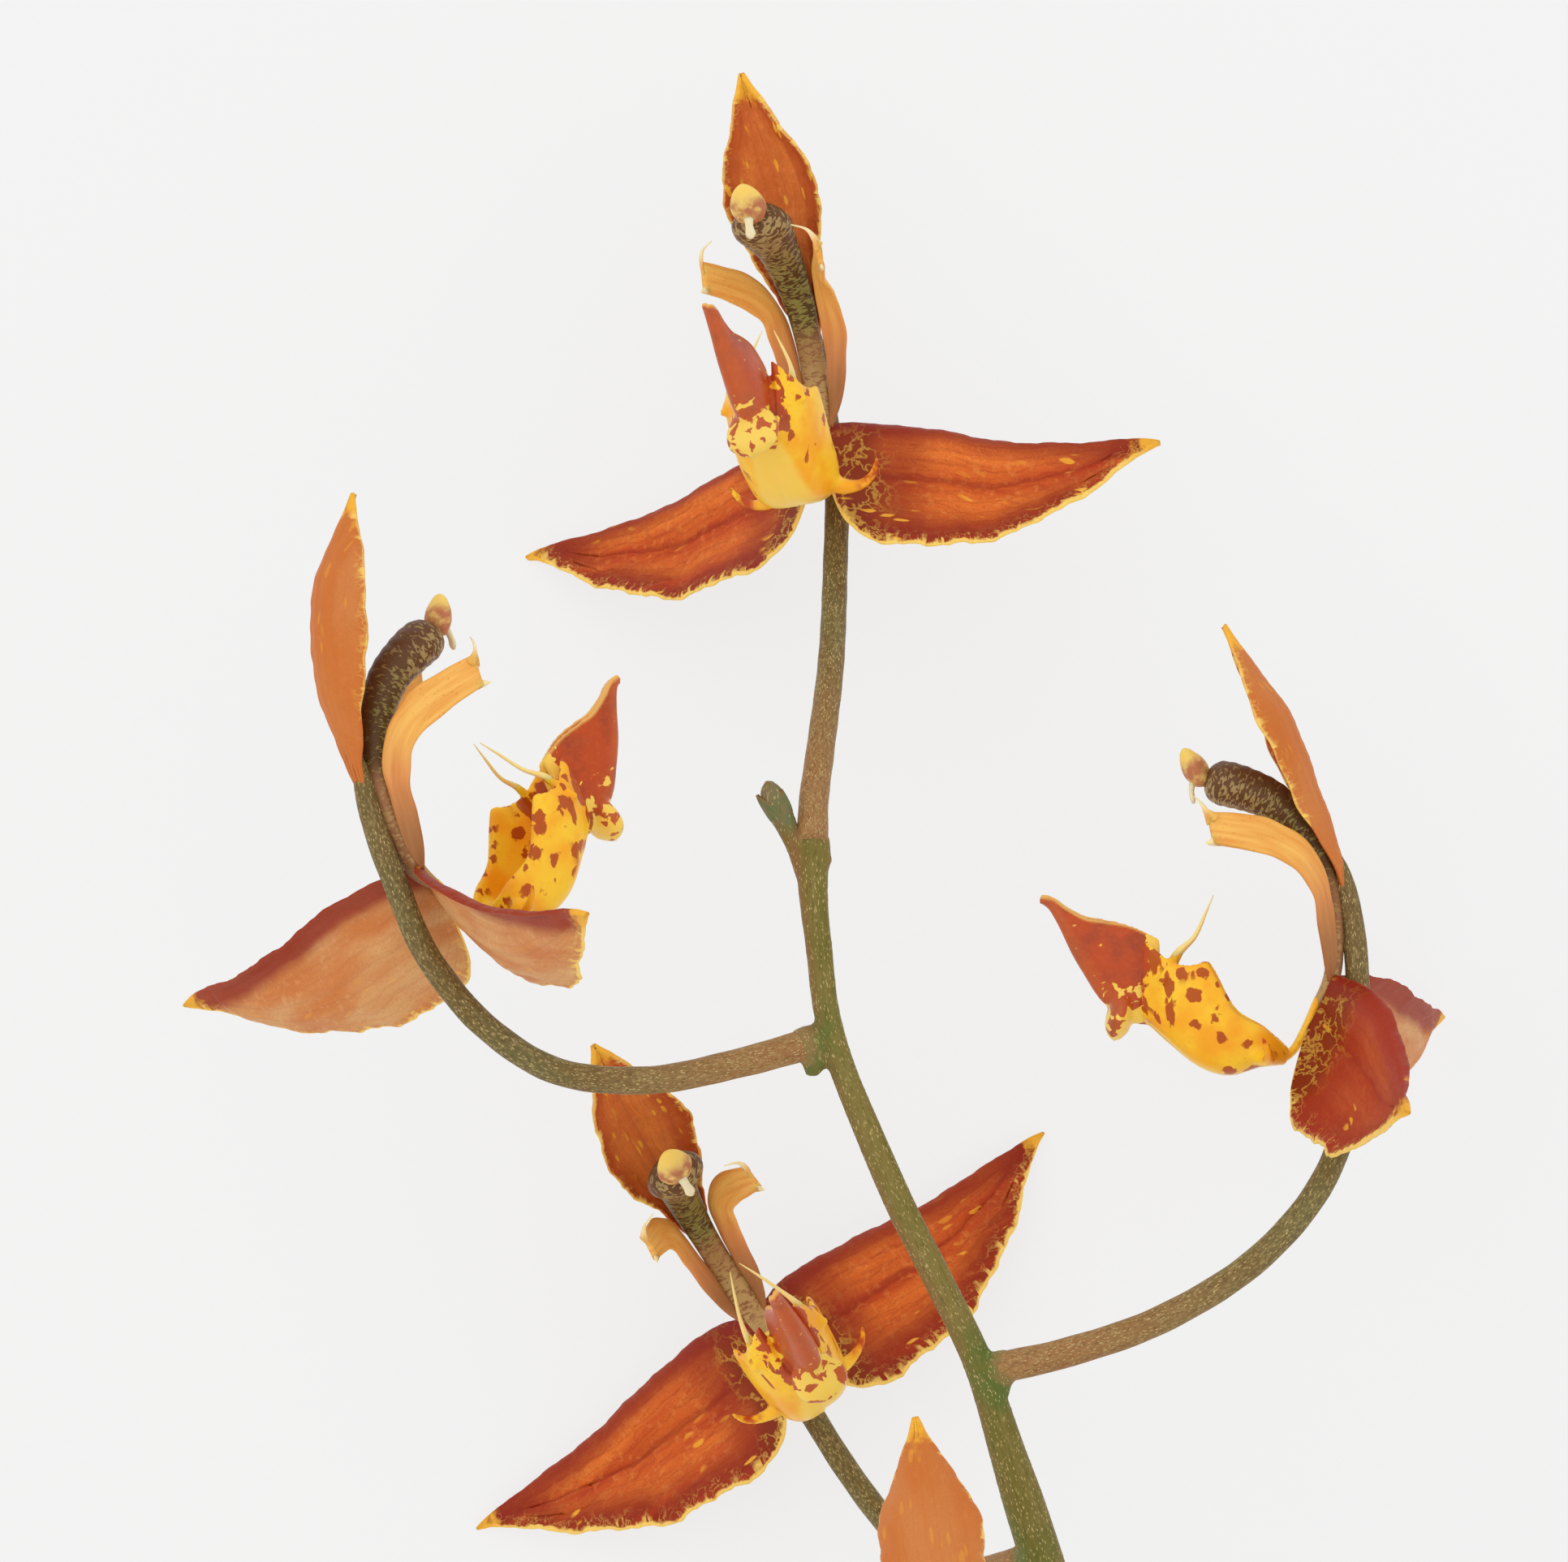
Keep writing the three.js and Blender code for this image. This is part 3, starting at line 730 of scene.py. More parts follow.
@dataclass(frozen=True)
class Finish:
    """A plant finish.

    Attributes:
        name: the material's name.
        roughness: how rough it is.
        depth: how much of its light comes from inside.
        reach: how far light goes into it, in mm.
        coat: how waxy it is.
        shine: how strong its own gloss is.
        relief: how high its bumps are, in mm.
    """

    name: str
    roughness: float = 0.5
    depth: float = 0.0
    reach: float = 0.3
    coat: float = 0.0
    shine: float = 0.18
    relief: float = 0.04

    def material(self, effects: Effects) -> bpy.types.Material:
        """The finish as a material.

        Args:
            effects: the shared effects.

        Returns:
            The material.
        """
        material, shader = plain_material(self.name, {
            "Roughness": self.roughness, "Specular IOR Level": self.shine, "Coat Weight": self.coat,
            "Coat Roughness": 0.3, "Subsurface Weight": self.depth, "Subsurface Scale": self.reach * MM,
            "Subsurface Radius": (1.0, 0.45, 0.18)})
        paint = Paint(material.node_tree)
        for key, value in self.painted(paint, effects).items():
            paint.feed(shader.inputs[key], value)
        return material

    def painted(self, paint: Paint, effects: Effects) -> Sockets:
        """What feeds the shader's sockets.

        Args:
            paint: adds nodes to the material.
            effects: the shared effects.

        Returns:
            A socket for each name of a shader socket.
        """
        raise NotImplementedError

    def skinned(self, paint: Paint, effects: Effects, grow: Any, colour: Any) -> Sockets:
        """A colour and the bumps of plant skin, by the names of the shader's sockets."""
        return {"Base Color": colour, "Normal": paint.bumped(effects.height(paint, grow), self.relief)}


class SepalKind(Enum):
    """Which sepal a finish is for."""

    LATERAL = "lateral"
    DORSAL = "dorsal"


@dataclass(frozen=True)
class SepalFinish(Finish):
    """Orange sepals with red veins, a dark rolled edge and a yellow net at the lower edge and tip."""

    kind: SepalKind = SepalKind.LATERAL
    orange: str = "E27529"
    red: str = "B9360D"
    dark: str = "8A200C"
    yellow: str = "F9D36A"
    gold: str = "F3B233"
    tan: str = "D8A268"
    rust: str = "CC7A3E"
    olive: str = "BE9038"
    # Where the painted shade along the fold's crease runs, as a share of the width
    crease: float = 0.42

    def painted(self, paint: Paint, effects: Effects) -> Sockets:
        """What feeds the shader's sockets, by their names."""
        grow, place = paint.vector("grow"), paint.number("place")
        low, tip, base = (paint.number(name) for name in ("low", "tip", "base"))
        dorsal = self.kind is SepalKind.DORSAL
        streak = paint.streaks(grow, (0.07, 0.85, 1), 4, 0.15)
        wander = paint.streaks(grow, (0.25, 0.25, 1), 2)
        veins = paint.maths("MULTIPLY_ADD", place, 9.0 if dorsal else 11.0, paint.product(wander, 1.3))
        wave = paint.maths("PINGPONG", veins, 0.5)
        vein = paint.fall(wave, 0.0, 0.16)
        grain, fine = paint.noise(grow, 1.9, 3, 0.3), paint.noise(grow, 6.5, 2)
        root = paint.fall(paint.maths("MULTIPLY_ADD", wander, 3.0, base), 2.6 if dorsal else 4.2, 6.6)

        bulge = paint.rise(paint.maths("PINGPONG", paint.maths("ADD", place, 0.02), 0.23), 0.02, 0.2)
        light = paint.maths("MULTIPLY_ADD", streak, 1.5, paint.maths("MULTIPLY_ADD", bulge, 0.45, -0.38),
                            clamp=True)
        inner = paint.over(paint.blend(light, self.red, self.orange), self.dark, vein, 0.22)
        threads = paint.away(paint.streaks(grow, (0.16, 1.5, 1), 3, 0.4), 0.5)
        inner = paint.over(inner, "9A2A0E", paint.fall(threads, 0.0, 0.035), 0.3)
        inner = paint.over(inner, "EC9548", paint.rise(grain, 0.5, 0.72), 0.35)
        inner = paint.over(inner, "9C3210", paint.fall(fine, 0.3, 0.52), 0.3)
        if not dorsal:
            inner = paint.over(inner, self.dark, paint.fall(low, 0.8, 4.2), paint.rise(streak, 0.15, 0.55),
                               0.85)
            # Painted shade: a darker line down the crease of the fold
            inner = paint.over(inner, self.dark, paint.fall(paint.away(place, self.crease), 0.0, 0.05), 0.5)
            inner = paint.over(inner, self.dark, paint.fall(base, 5.0, 8.5), 0.6)
        net = paint.effect(effects.net, Vector=grow, Scale=0.62, Width=0.07, Ragged=1.6, Soft=0.05)
        inner = paint.over(inner, paint.blend(net, "842E0C", self.olive), root, 0.9)
        if not dorsal:
            inner = paint.over(inner, self.dark, paint.fall(paint.number("top"), 0.7, 2.3), 0.8)
        inner = paint.over(inner, "A4301C", paint.number("flush"), paint.maths("SUBTRACT", 1.0, root), 0.8)

        outer = paint.blend(paint.rise(paint.streaks(grow, (0.12, 0.4, 1), 3), 0.3, 0.7), self.tan, self.rust)
        outer = paint.over(outer, "B9653A", vein, 0.18)
        outer = paint.over(outer, "B46434", paint.fall(fine, 0.3, 0.52), 0.25)
        outer = paint.over(outer, "E2B27A", paint.rise(grain, 0.55, 0.75), 0.3)
        if dorsal:
            outer = paint.over(outer, "C6671E", 0.68)
            inner = paint.over(inner, "E8944A", 0.3)
            inner = paint.over(inner, "A8320F", paint.fall(low, 0.2, 1.8), 0.55)
        else:
            outer = paint.over(outer, "922418", paint.fall(paint.number("top"), 1.2, 2.4), 0.85)

        back = paint.number("outer")
        dashes = self._dashes(paint, effects, grow, tip if dorsal else low, dorsal)
        inside = paint.maths("MULTIPLY_ADD", back, -0.6, 0.85)
        shown = paint.over(paint.blend(back, inner, outer), self.gold, dashes, inside)
        if dorsal:
            low = paint.maths("MULTIPLY_ADD", low, 3.2, paint.product(paint.fall(base, 1.5, 6.0), 5.0))
        shown = self._margins(paint, effects, shown, grow, low, tip)
        height = paint.maths("MULTIPLY_ADD", paint.rise(wave, 0.0, 0.3), 0.25, effects.height(paint, grow))
        rough = paint.maths("MULTIPLY_ADD", streak, 0.2, self.roughness - 0.08)
        return {"Base Color": shown, "Roughness": rough, "Normal": paint.bumped(height, self.relief)}

    def _dashes(self, paint: Paint, effects: Effects, grow: Any, reach: Any, dorsal: bool) -> Socket:
        """Yellow dashes along the veins: many near a dorsal sepal's tip, a few on a lateral one.

        Args:
            paint: adds nodes to the material.
            effects: the shared effects.
            grow: the place on the sepal.
            reach: how far a point is from where the dashes are.
            dorsal: whether the sepal is a dorsal one.

        Returns:
            1 in a dash.
        """
        scale, start, full, gone = (1.15, 0.36, 8.0, 17.0) if dorsal else (0.9, 0.5, 3.0, 8.0)
        dashes = paint.effect(effects.blotches, Vector=paint.stretched(grow, (0.42, 1.5, 1)), Scale=scale,
                              Size=0.25, Ragged=0.3, Soft=0.06)
        few = paint.rise(paint.noise(paint.stretched(grow, (0.3, 0.5, 1)), 0.8, 1), start, start + 0.12)
        return paint.product(dashes, few, paint.fall(reach, full, gone))

    def _margins(self, paint: Paint, effects: Effects, shown: Any, grow: Any, low: Any, tip: Any) -> Socket:
        """Adds the mottled yellow margin, its short lashes and the yellow tip.

        Args:
            paint: adds nodes to the material.
            effects: the shared effects.
            shown: the colour under them.
            grow: the place on the sepal.
            low: how far a point is from the lower edge.
            tip: how far it is from the tip.

        Returns:
            The new colour.
        """
        torn = paint.noise(grow, 1.6, 3)
        comb = paint.rise(paint.streaks(grow, (1.5, 0.42, 1), 2.5, 0.3), 0.55, 0.6)
        comb = paint.product(comb, paint.fall(paint.maths("MULTIPLY_ADD", torn, 2.6, low), 1.4, 2.3))
        lashes = paint.effect(effects.net, Vector=grow, Scale=0.62, Width=0.05, Ragged=2.2, Soft=0.04)
        near = paint.fall(paint.maths("MULTIPLY_ADD", torn, 2.0, low), 1.2, 2.8)
        shown = paint.over(shown, self.yellow,
                           paint.maths("MAXIMUM", comb, paint.product(lashes, near, 0.45)), 0.8)
        rim = paint.fall(paint.maths("MULTIPLY_ADD", torn, -0.7, low), -0.22, 0.0)
        shown = paint.over(shown, self.yellow, rim, 0.9 if self.kind is SepalKind.LATERAL else 0.55)
        point = paint.fall(paint.maths("MULTIPLY_ADD", torn, -3.6, tip), -0.9, 0.5)
        return paint.over(shown, self.gold, point, 0.9)


@dataclass(frozen=True)
class PetalFinish(Finish):
    """Thin orange-yellow petals, pinkish and striped towards their base."""

    def painted(self, paint: Paint, effects: Effects) -> Sockets:
        """What feeds the shader's sockets, by their names."""
        grow, share = paint.vector("grow"), paint.number("share")
        streak = paint.streaks(grow, (0.2, 2.2, 1), 3)
        colour = paint.blend(paint.rise(streak, 0.3, 0.7), "F3BE62", "E7A04A")
        pink = paint.product(paint.fall(share, 0.3, 0.66), 0.85)
        colour = paint.blend(pink, colour, paint.blend(streak, "DC9860", "C06A3A"))
        colour = paint.over(colour, paint.blend(streak, "A8784A", "8E5A34"), paint.fall(share, 0.12, 0.42),
                            0.8)
        colour = paint.over(colour, "F6E2B0", paint.rise(share, 1.1, 1.5), 0.9)
        specks = paint.effect(effects.blotches, Vector=grow, Scale=2.6, Size=0.2, Ragged=0.3, Soft=0.05)
        colour = paint.over(colour, "C8642A", specks, 0.35, paint.rise(share, 0.55, 0.8))
        return self.skinned(paint, effects, grow, colour)


@dataclass(frozen=True)
class ColumnFinish(Finish):
    """An olive column with close purple-brown crossbars, pale at its base."""

    def painted(self, paint: Paint, effects: Effects) -> Sockets:
        """What feeds the shader's sockets, by their names."""
        grow, share = paint.vector("grow"), paint.number("share")
        lines = paint.streaks(grow, (4.4, 1.7, 1.7), 1.5, 0.9)
        lines = paint.maths("MULTIPLY_ADD", paint.number("face"), -0.07, lines)
        bars = paint.rise(lines, 0.41, 0.48)
        thin = paint.rise(lines, 0.46, 0.53)
        ground = paint.blend(paint.rise(share, 0.08, 0.4), "A98F5C", "887F40")
        ground = paint.blend(paint.rise(share, 0.62, 0.8), ground, "B5A868")
        dark = paint.blend(paint.rise(share, 0.0, 0.45), "5E331C", "4C2A14")
        mask = paint.blend(paint.rise(share, 0.5, 0.72), bars, thin)
        colour = paint.over(ground, dark, mask, paint.fall(share, 0.86, 1.0), 0.88)
        colour = paint.over(colour, "58381F", paint.fall(paint.number("face"), -0.9, 0.5), 0.45)
        foot = paint.blend(paint.streaks(grow, (0.2, 1.5, 1.5), 3), "A0633F", "D99A6A")
        colour = paint.over(colour, foot, paint.rise(share, 0.5, 0.62), 0.45)
        return self.skinned(paint, effects, grow, colour)


@dataclass(frozen=True)
class CapFinish(Finish):
    """A pale yellow cap with a pink-brown middle and a pale tongue."""

    def painted(self, paint: Paint, effects: Effects) -> Sockets:
        """What feeds the shader's sockets, by their names."""
        grow, share, tongue = paint.vector("grow"), paint.number("share"), paint.number("tongue")
        patches = paint.noise(grow, 1.3, 3)
        brown = paint.product(paint.fall(share, 0.45, 0.85), paint.rise(patches, 0.3, 0.6))
        colour = paint.blend(brown, "EBCB73", "B9734F")
        colour = paint.over(colour, "F2CD62", paint.rise(share, 0.55, 0.9), 0.8)
        colour = paint.blend(tongue, colour, "E9DDB6")
        return self.skinned(paint, effects, grow, colour)


@dataclass(frozen=True)
class LipFinish(Finish):
    """A waxy yellow lip with red-brown spots and a red-brown folded blade with a painted keel highlight."""

    yellow: str = "FCC92E"
    deep: str = "F7A91C"
    pale: str = "FAD25C"
    cream: str = "F1D268"
    spot: str = "B04410"
    blade: str = "B6360E"
    sheen: str = "96281A"

    def painted(self, paint: Paint, effects: Effects) -> Sockets:
        """What feeds the shader's sockets, by their names."""
        grow = paint.vector("grow")
        folded, edge, spread, wall, rim, front, bib, horn, thread = (paint.number(name) for name in (
            "folded", "edge", "spread", "wall", "rim", "front", "bib", "horn", "pale"))
        soft = paint.noise(grow, 0.35, 2)
        colour = paint.blend(paint.rise(soft, 0.35, 0.65), self.yellow, self.deep)
        colour = paint.over(colour, "F0A020", paint.rise(paint.noise(grow, 3.0, 3), 0.5, 0.75), 0.3)
        colour = paint.over(colour, self.pale, bib, 0.85)
        size = paint.maths("MULTIPLY_ADD", paint.number("marked"), 0.17, 0.19)
        spots = paint.effect(effects.blotches, Vector=grow, Scale=0.6, Size=size, Ragged=0.8, Soft=0.04)
        marks = paint.product(spots, wall)
        small = paint.effect(effects.blotches, Vector=paint.stretched(grow, (1, 0.8, 1)),
                             Scale=0.9, Size=0.27, Ragged=0.7, Soft=0.05)
        marks = paint.maths("MAXIMUM", marks, paint.product(small, rim))
        long = paint.effect(effects.blotches, Vector=paint.stretched(grow, (0.8, 0.4, 1.1)),
                            Scale=0.8, Size=size, Ragged=0.9, Soft=0.04)
        marks = paint.maths("MAXIMUM", marks, paint.product(long, front))
        colour = paint.over(colour, self.spot, marks, 0.93)
        patches = paint.noise(grow, 1.0, 2.5, 0.5)
        covered = paint.rise(paint.maths("ADD", patches, spread), 0.52, 0.545)
        red = paint.blend(paint.rise(paint.noise(grow, 0.5, 2), 0.45, 0.75), self.blade, self.sheen)
        red = paint.over(red, "CE5424", paint.rise(paint.noise(grow, 2.6, 3, 0.3), 0.45, 0.7), 0.25)
        # Painted highlight: a lighter tan along the folded blade's keel
        red = paint.over(red, "CC7A4C", paint.number("ridge"), 0.25)
        ground = paint.blend(soft, "F5C845", self.cream)
        blade = paint.over(ground, red, covered, 0.95)
        gold = paint.effect(effects.blotches, Vector=paint.stretched(grow, (1, 1.5, 0.7)),
                            Scale=1.0, Size=0.13, Ragged=0.8, Soft=0.06)
        blade = paint.over(blade, "F0C560", gold, 0.7)
        blade = paint.over(blade, "F0BE62", edge, 0.8)
        border = paint.rise(paint.maths("MULTIPLY_ADD", paint.maths("SUBTRACT", patches, 0.5), 1.6, folded),
                            0.5, 0.56)
        colour = paint.blend(border, colour, blade)
        torn = paint.noise(paint.stretched(grow, (0.8, 0.6, 0.8)), 1.2, 3)
        colour = paint.over(colour, "BF4A18", horn, paint.rise(torn, 0.42, 0.6))
        colour = paint.blend(thread, colour, "F6D98A")
        return self.skinned(paint, effects, grow, colour)


@dataclass(frozen=True)
class StalkFinish(Finish):
    """An olive-brown flower stalk, pinkish where it leaves the stem, with fine pale dots."""

    def painted(self, paint: Paint, effects: Effects) -> Sockets:
        """What feeds the shader's sockets, by their names."""
        grow, share = paint.vector("grow"), paint.number("share")
        soft = paint.streaks(grow, (0.15, 0.8, 0.8), 3)
        colour = paint.blend(paint.rise(soft, 0.35, 0.65), "6E5A30", "70663C")
        flower_end = paint.blend(soft, "7C5F36", "665A32")
        colour = paint.blend(paint.fall(share, 0.1, 0.3), colour, flower_end)
        pink = paint.rise(share, 0.5, 0.97)
        colour = paint.over(colour, paint.blend(soft, "985F36", "AE8250"), pink, 0.8)
        fine = paint.streaks(grow, (2.2, 5.0, 5.0), 2)
        colour = paint.over(colour, "B49C66", paint.rise(fine, 0.5, 0.68), 0.32)
        colour = paint.over(colour, "50401F", paint.fall(fine, 0.3, 0.45), 0.4)
        dots = paint.effect(effects.blotches, Vector=paint.stretched(grow, (0.55, 1, 1)),
                            Scale=3.4, Size=0.26, Ragged=0.2, Soft=0.1)
        colour = paint.over(colour, "B59A66", dots, 0.5)
        specks = paint.effect(effects.blotches, Vector=grow, Scale=4.6, Size=0.22, Ragged=0.2, Soft=0.1)
        colour = paint.over(colour, "4A3A22", specks, 0.45)
        return self.skinned(paint, effects, grow, colour)


@dataclass(frozen=True)
class StemFinish(Finish):
    """A green-brown stem with pale lengthwise flecks, greener at its nodes and its end bud."""

    def painted(self, paint: Paint, effects: Effects) -> Sockets:
        """What feeds the shader's sockets, by their names."""
        grow = paint.vector("grow")
        soft = paint.streaks(grow, (0.1, 0.5, 0.5), 3)
        colour = paint.blend(paint.rise(soft, 0.35, 0.65), "6F6728", "7F7036")
        fine = paint.streaks(grow, (0.9, 5.0, 5.0), 2)
        colour = paint.over(colour, "474A1E", paint.fall(fine, 0.28, 0.46), 0.45)
        colour = paint.over(colour, "8F7B4C", paint.rise(fine, 0.5, 0.75), 0.5)
        # Painted highlight: red-brown down the stem's flanks, strongest on its left side
        red = paint.product(paint.number("flank"), paint.rise(soft, 0.3, 0.7), 0.7)
        colour = paint.blend(red, colour, "8A5A38")
        green = paint.product(paint.number("node"), paint.rise(paint.noise(grow, 0.45, 3), 0.28, 0.6), 0.65)
        colour = paint.blend(green, colour, "4C6C2C")
        joined = paint.maths("MULTIPLY_ADD", paint.noise(grow, 1.4, 2), 0.8, paint.number("join"))
        colour = paint.over(colour, "94774A", paint.rise(joined, 0.6, 1.1), 0.7)
        scale = paint.blend(paint.rise(paint.noise(grow, 1.1, 3), 0.35, 0.65), "5A7348", "7E7050")
        colour = paint.over(colour, scale, paint.number("scale"), 0.75)
        colour = paint.over(colour, "8C6238", paint.number("dry"), 0.8)
        colour = paint.blend(paint.number("cut"), colour, "B9B886")
        flecks = paint.effect(effects.blotches, Vector=paint.stretched(grow, (0.3, 1, 1)),
                              Scale=2.6, Size=0.2, Ragged=0.2, Soft=0.12)
        colour = paint.over(colour, "BCAF6C", flecks, 0.45)
        return self.skinned(paint, effects, grow, colour)


@dataclass(frozen=True)
class FleckFinish(Finish):
    """Pale raised flecks on the stalks and the stem."""

    colour: str = "C6B078"

    def painted(self, paint: Paint, effects: Effects) -> Sockets:
        """What feeds the shader's sockets, by their names."""
        place = paint.node("ShaderNodeTexCoord").outputs["Object"]
        patch = paint.noise(paint.stretched(place, (1 / MM, 1 / MM, 1 / MM)), 0.6, 2)
        return {"Base Color": paint.blend(paint.rise(patch, 0.3, 0.7), self.colour, "A38E58")}


class Wardrobe:
    """Every finish of the object, made once."""

    def __init__(self) -> None:
        """Makes the materials."""
        effects = Effects()
        leaf = {"depth": 0.16, "reach": 0.35, "relief": 0.05}
        self.lateral = SepalFinish("lateral sepal", **leaf).material(effects)
        self.dorsal = SepalFinish("dorsal sepal", **leaf, kind=SepalKind.DORSAL).material(effects)
        self.petal = PetalFinish("petal", depth=0.35, reach=0.5, relief=0.03).material(effects)
        self.column = ColumnFinish("column", roughness=0.42, depth=0.1, relief=0.035).material(effects)
        self.cap = CapFinish("anther cap", roughness=0.45, depth=0.3, reach=0.5).material(effects)
        self.lip = LipFinish("lip", roughness=0.34, depth=0.3, reach=0.5, coat=0.12,
                             relief=0.025).material(effects)
        self.stalk = StalkFinish("flower stalk").material(effects)
        self.stem = StemFinish("stem", roughness=0.48, relief=0.045).material(effects)
        self.fleck = FleckFinish("pale fleck", roughness=0.6, reach=0.2).material(effects)


@dataclass
class Sepals:
    """The three sepals of one flower."""

    flower: Flower
    root_top: Triple = (1.3, -4.6, -7.6)
    root_low: Triple = (1.3, -9.0, -5.8)
    dorsal_root: Triple = (0, 2.55, -7.98)
    dorsal_tip: Triple = (0, 20.2, 0.6)
    thickness: float = 0.46
    upper: Pairs = ((0, 2.1), (0.12, 2.8), (0.3, 2.7), (0.5, 1.8), (0.7, 1.0), (0.85, 0.65), (0.95, 0.45),
                    (1, 0.12))
    lower: Pairs = ((0, 2.8), (0.06, 6.2), (0.15, 7.8), (0.27, 8.2), (0.4, 7.9), (0.55, 7.2), (0.7, 5.3),
                    (0.85, 2.6), (0.94, 0.95), (1, 0.12))
    hollow: float = 1.5
    hollow_from: float = 0.1
    roll_back: float = 1.5
    roll_width: float = 0.3
    opening: float = 0.6
    opening_reach: float = 1.15
    sweep: float = 0.8
    crease: float = 0.22
    creases: Pairs = ((0.42, 1.0), (0.68, 0.5))
    crease_width: float = 0.05
    quilt: float = 0.05
    quilt_folds: int = 9
    quilt_waves: Pairs = ((11, 0.3), (5, 0.2))
    sway_waves: Pairs = ((9.5, 0.14), (5.3, 0.08))
    root_reach: float = 0.7
    dorsal_reach: float = 2.2
    tuck: float = 1.1
    tuck_reach: float = 0.06
    half: Pairs = ((0, 0.3), (0.1, 0.75), (0.22, 1.6), (0.4, 3.0), (0.58, 3.5), (0.72, 3.0), (0.86, 1.6),
                   (0.945, 0.65), (1, 0.1))
    widest: float = 3.5
    keel: float = 2.1
    dorsal_quilt: float = 0.045
    dorsal_folds: int = 7
    dorsal_edge: float = 0.25
    edge_waves: Pairs = ((7, 0.6), (3, 0.3))
    wave: Pairs = ((8.1, 0.2), (3.7, 0.12), (1.55, 0.06), (0.8, 0.03))

    def lateral(self, side: int, tip_point: Triple) -> Skin:
        """A lateral sepal, in the flower's own frame.

        Args:
            side: -1 for the left one, 1 for the right one.
            tip_point: its tip.

        Returns:
            Its skin.
        """
        top, bottom = (np.asarray(point) * (side, 1, 1) for point in (self.root_top, self.root_low))
        root = (top + bottom) / 2
        axis = np.asarray(tip_point) - root
        down = bottom - top
        down = unit(down - axis * (down @ axis) / (axis @ axis))
        front = unit(np.cross(axis, down)) * -side
        length = float(np.linalg.norm(axis))
        seed = self.flower.seed + side

        def edges(u: Array) -> tuple[Array, Array]:
            """How far the leaf reaches above and below its axis."""
            calm = np.sin(np.pi * u) ** 0.5
            high = along(self.upper, u) + 0.4 * ripple(u * length, seed, self.wave) * calm
            return high, along(self.lower, u) + ripple(u * length, seed + 5, self.wave) * calm

        def surface(u: Array, v: Array) -> Array:
            """The leaf's middle surface."""
            high, low = edges(u)
            reach = -high + (high + low) * v
            opened = np.sin(np.pi * np.minimum(u * self.opening_reach, 1)) ** self.opening
            roll = np.maximum(0, 1 - v / self.roll_width)
            cup = np.sin(np.pi * np.maximum(0, (v - self.hollow_from) / (1 - self.hollow_from)))
            back = opened * (self.roll_back * roll**2 + self.hollow * cup) + self.sweep * np.sin(np.pi * u)
            fold = sum(deep * np.exp(-((v - at) / self.crease_width) ** 2) for at, deep in self.creases)
            wander = 2 * ripple(u * length, seed, self.quilt_waves)
            quilt = self.quilt * np.cos(2 * np.pi * v * self.quilt_folds + wander)
            sway = ripple(u * length + 6 * v, seed + 9, self.sway_waves)
            back = back + opened * (self.crease * fold + quilt + sway * v)
            place = (u * (1 + self.root_reach / length) - self.root_reach / length)[..., None]
            return root + axis * place + down * reach[..., None] - front * back[..., None]

        def values(u: Array, v: Array) -> Values:
            """What the finish reads."""
            high, low = edges(u)
            width = high + low
            grow = np.stack([u * length, width * v, np.full_like(u, seed * 3.1)], -1)
            return {"grow": grow, "place": v, "low": (1 - v) * width, "top": v * width,
                    "tip": (1 - u) * length, "base": u * length, "flush": np.full_like(u, self.flower.flush)}

        return sheet(surface, self.thickness, 100, 38, tuple(front), values)

    def dorsal(self) -> Skin:
        """The dorsal sepal, in the flower's own frame."""
        root = np.asarray(self.dorsal_root)
        axis = np.asarray(self.dorsal_tip) - root
        back = unit(np.array((0, axis[2], -axis[1])))
        length = float(np.linalg.norm(axis))
        seed = self.flower.seed + 3

        def half_width(u: Array, v: Array) -> Array:
            """Half the leaf's width, uneven and not quite the same on each side."""
            calm = np.sin(np.pi * u) ** 0.5
            one, two = (0.7 * ripple(u * length, seed + k, self.wave) for k in (0, 7))
            return along(self.half, u) + calm * (one + (two - one) * v)

        def surface(u: Array, v: Array) -> Array:
            """The leaf's middle surface."""
            half, place = half_width(u, v), 2 * v - 1
            keel = self.keel * (half / self.widest) * (1 - place * place)
            quilt = self.dorsal_quilt * np.cos(np.pi * place * self.dorsal_folds) * np.sin(np.pi * u)
            edge = ripple(u * length, seed + 2, self.edge_waves) * place**3 * np.sin(np.pi * u)
            lift = keel + self.flower.bow * np.sin(np.pi * u) + quilt + self.dorsal_edge * edge
            lift = lift - self.tuck * np.exp(-u / self.tuck_reach)
            share = (u * (1 + self.dorsal_reach / length) - self.dorsal_reach / length)[..., None]
            shape = root + axis * share + back * lift[..., None]
            return shape + np.stack([half * place, 0 * place, 0 * place], -1)

        def values(u: Array, v: Array) -> Values:
            """What the finish reads."""
            half, place = half_width(u, v), 2 * v - 1
            grow = np.stack([u * length, half * place, np.full_like(u, seed * 2.3)], -1)
            return {"grow": grow, "place": v, "low": half * (1 - np.abs(place)), "tip": (1 - u) * length,
                    "base": u * length}

        return sheet(surface, self.thickness, 90, 34, tuple(-back), values)

    def build(self, wardrobe: Wardrobe) -> None:
        """Makes the three sepals.

        Args:
            wardrobe: the finishes.
        """
        leaves = [(hand, self.lateral(side, tip), wardrobe.lateral)
                  for (side, hand), tip in zip(SIDES, self.flower.tips)]
        for hand, skin, material in (*leaves, ("dorsal", self.dorsal(), wardrobe.dorsal)):
            node = f"{self.flower.name}_{hand}_sepal"
            make_piece(f"{node}_leaf", skin.placed(self.flower.place), material, "sepal", (node,))


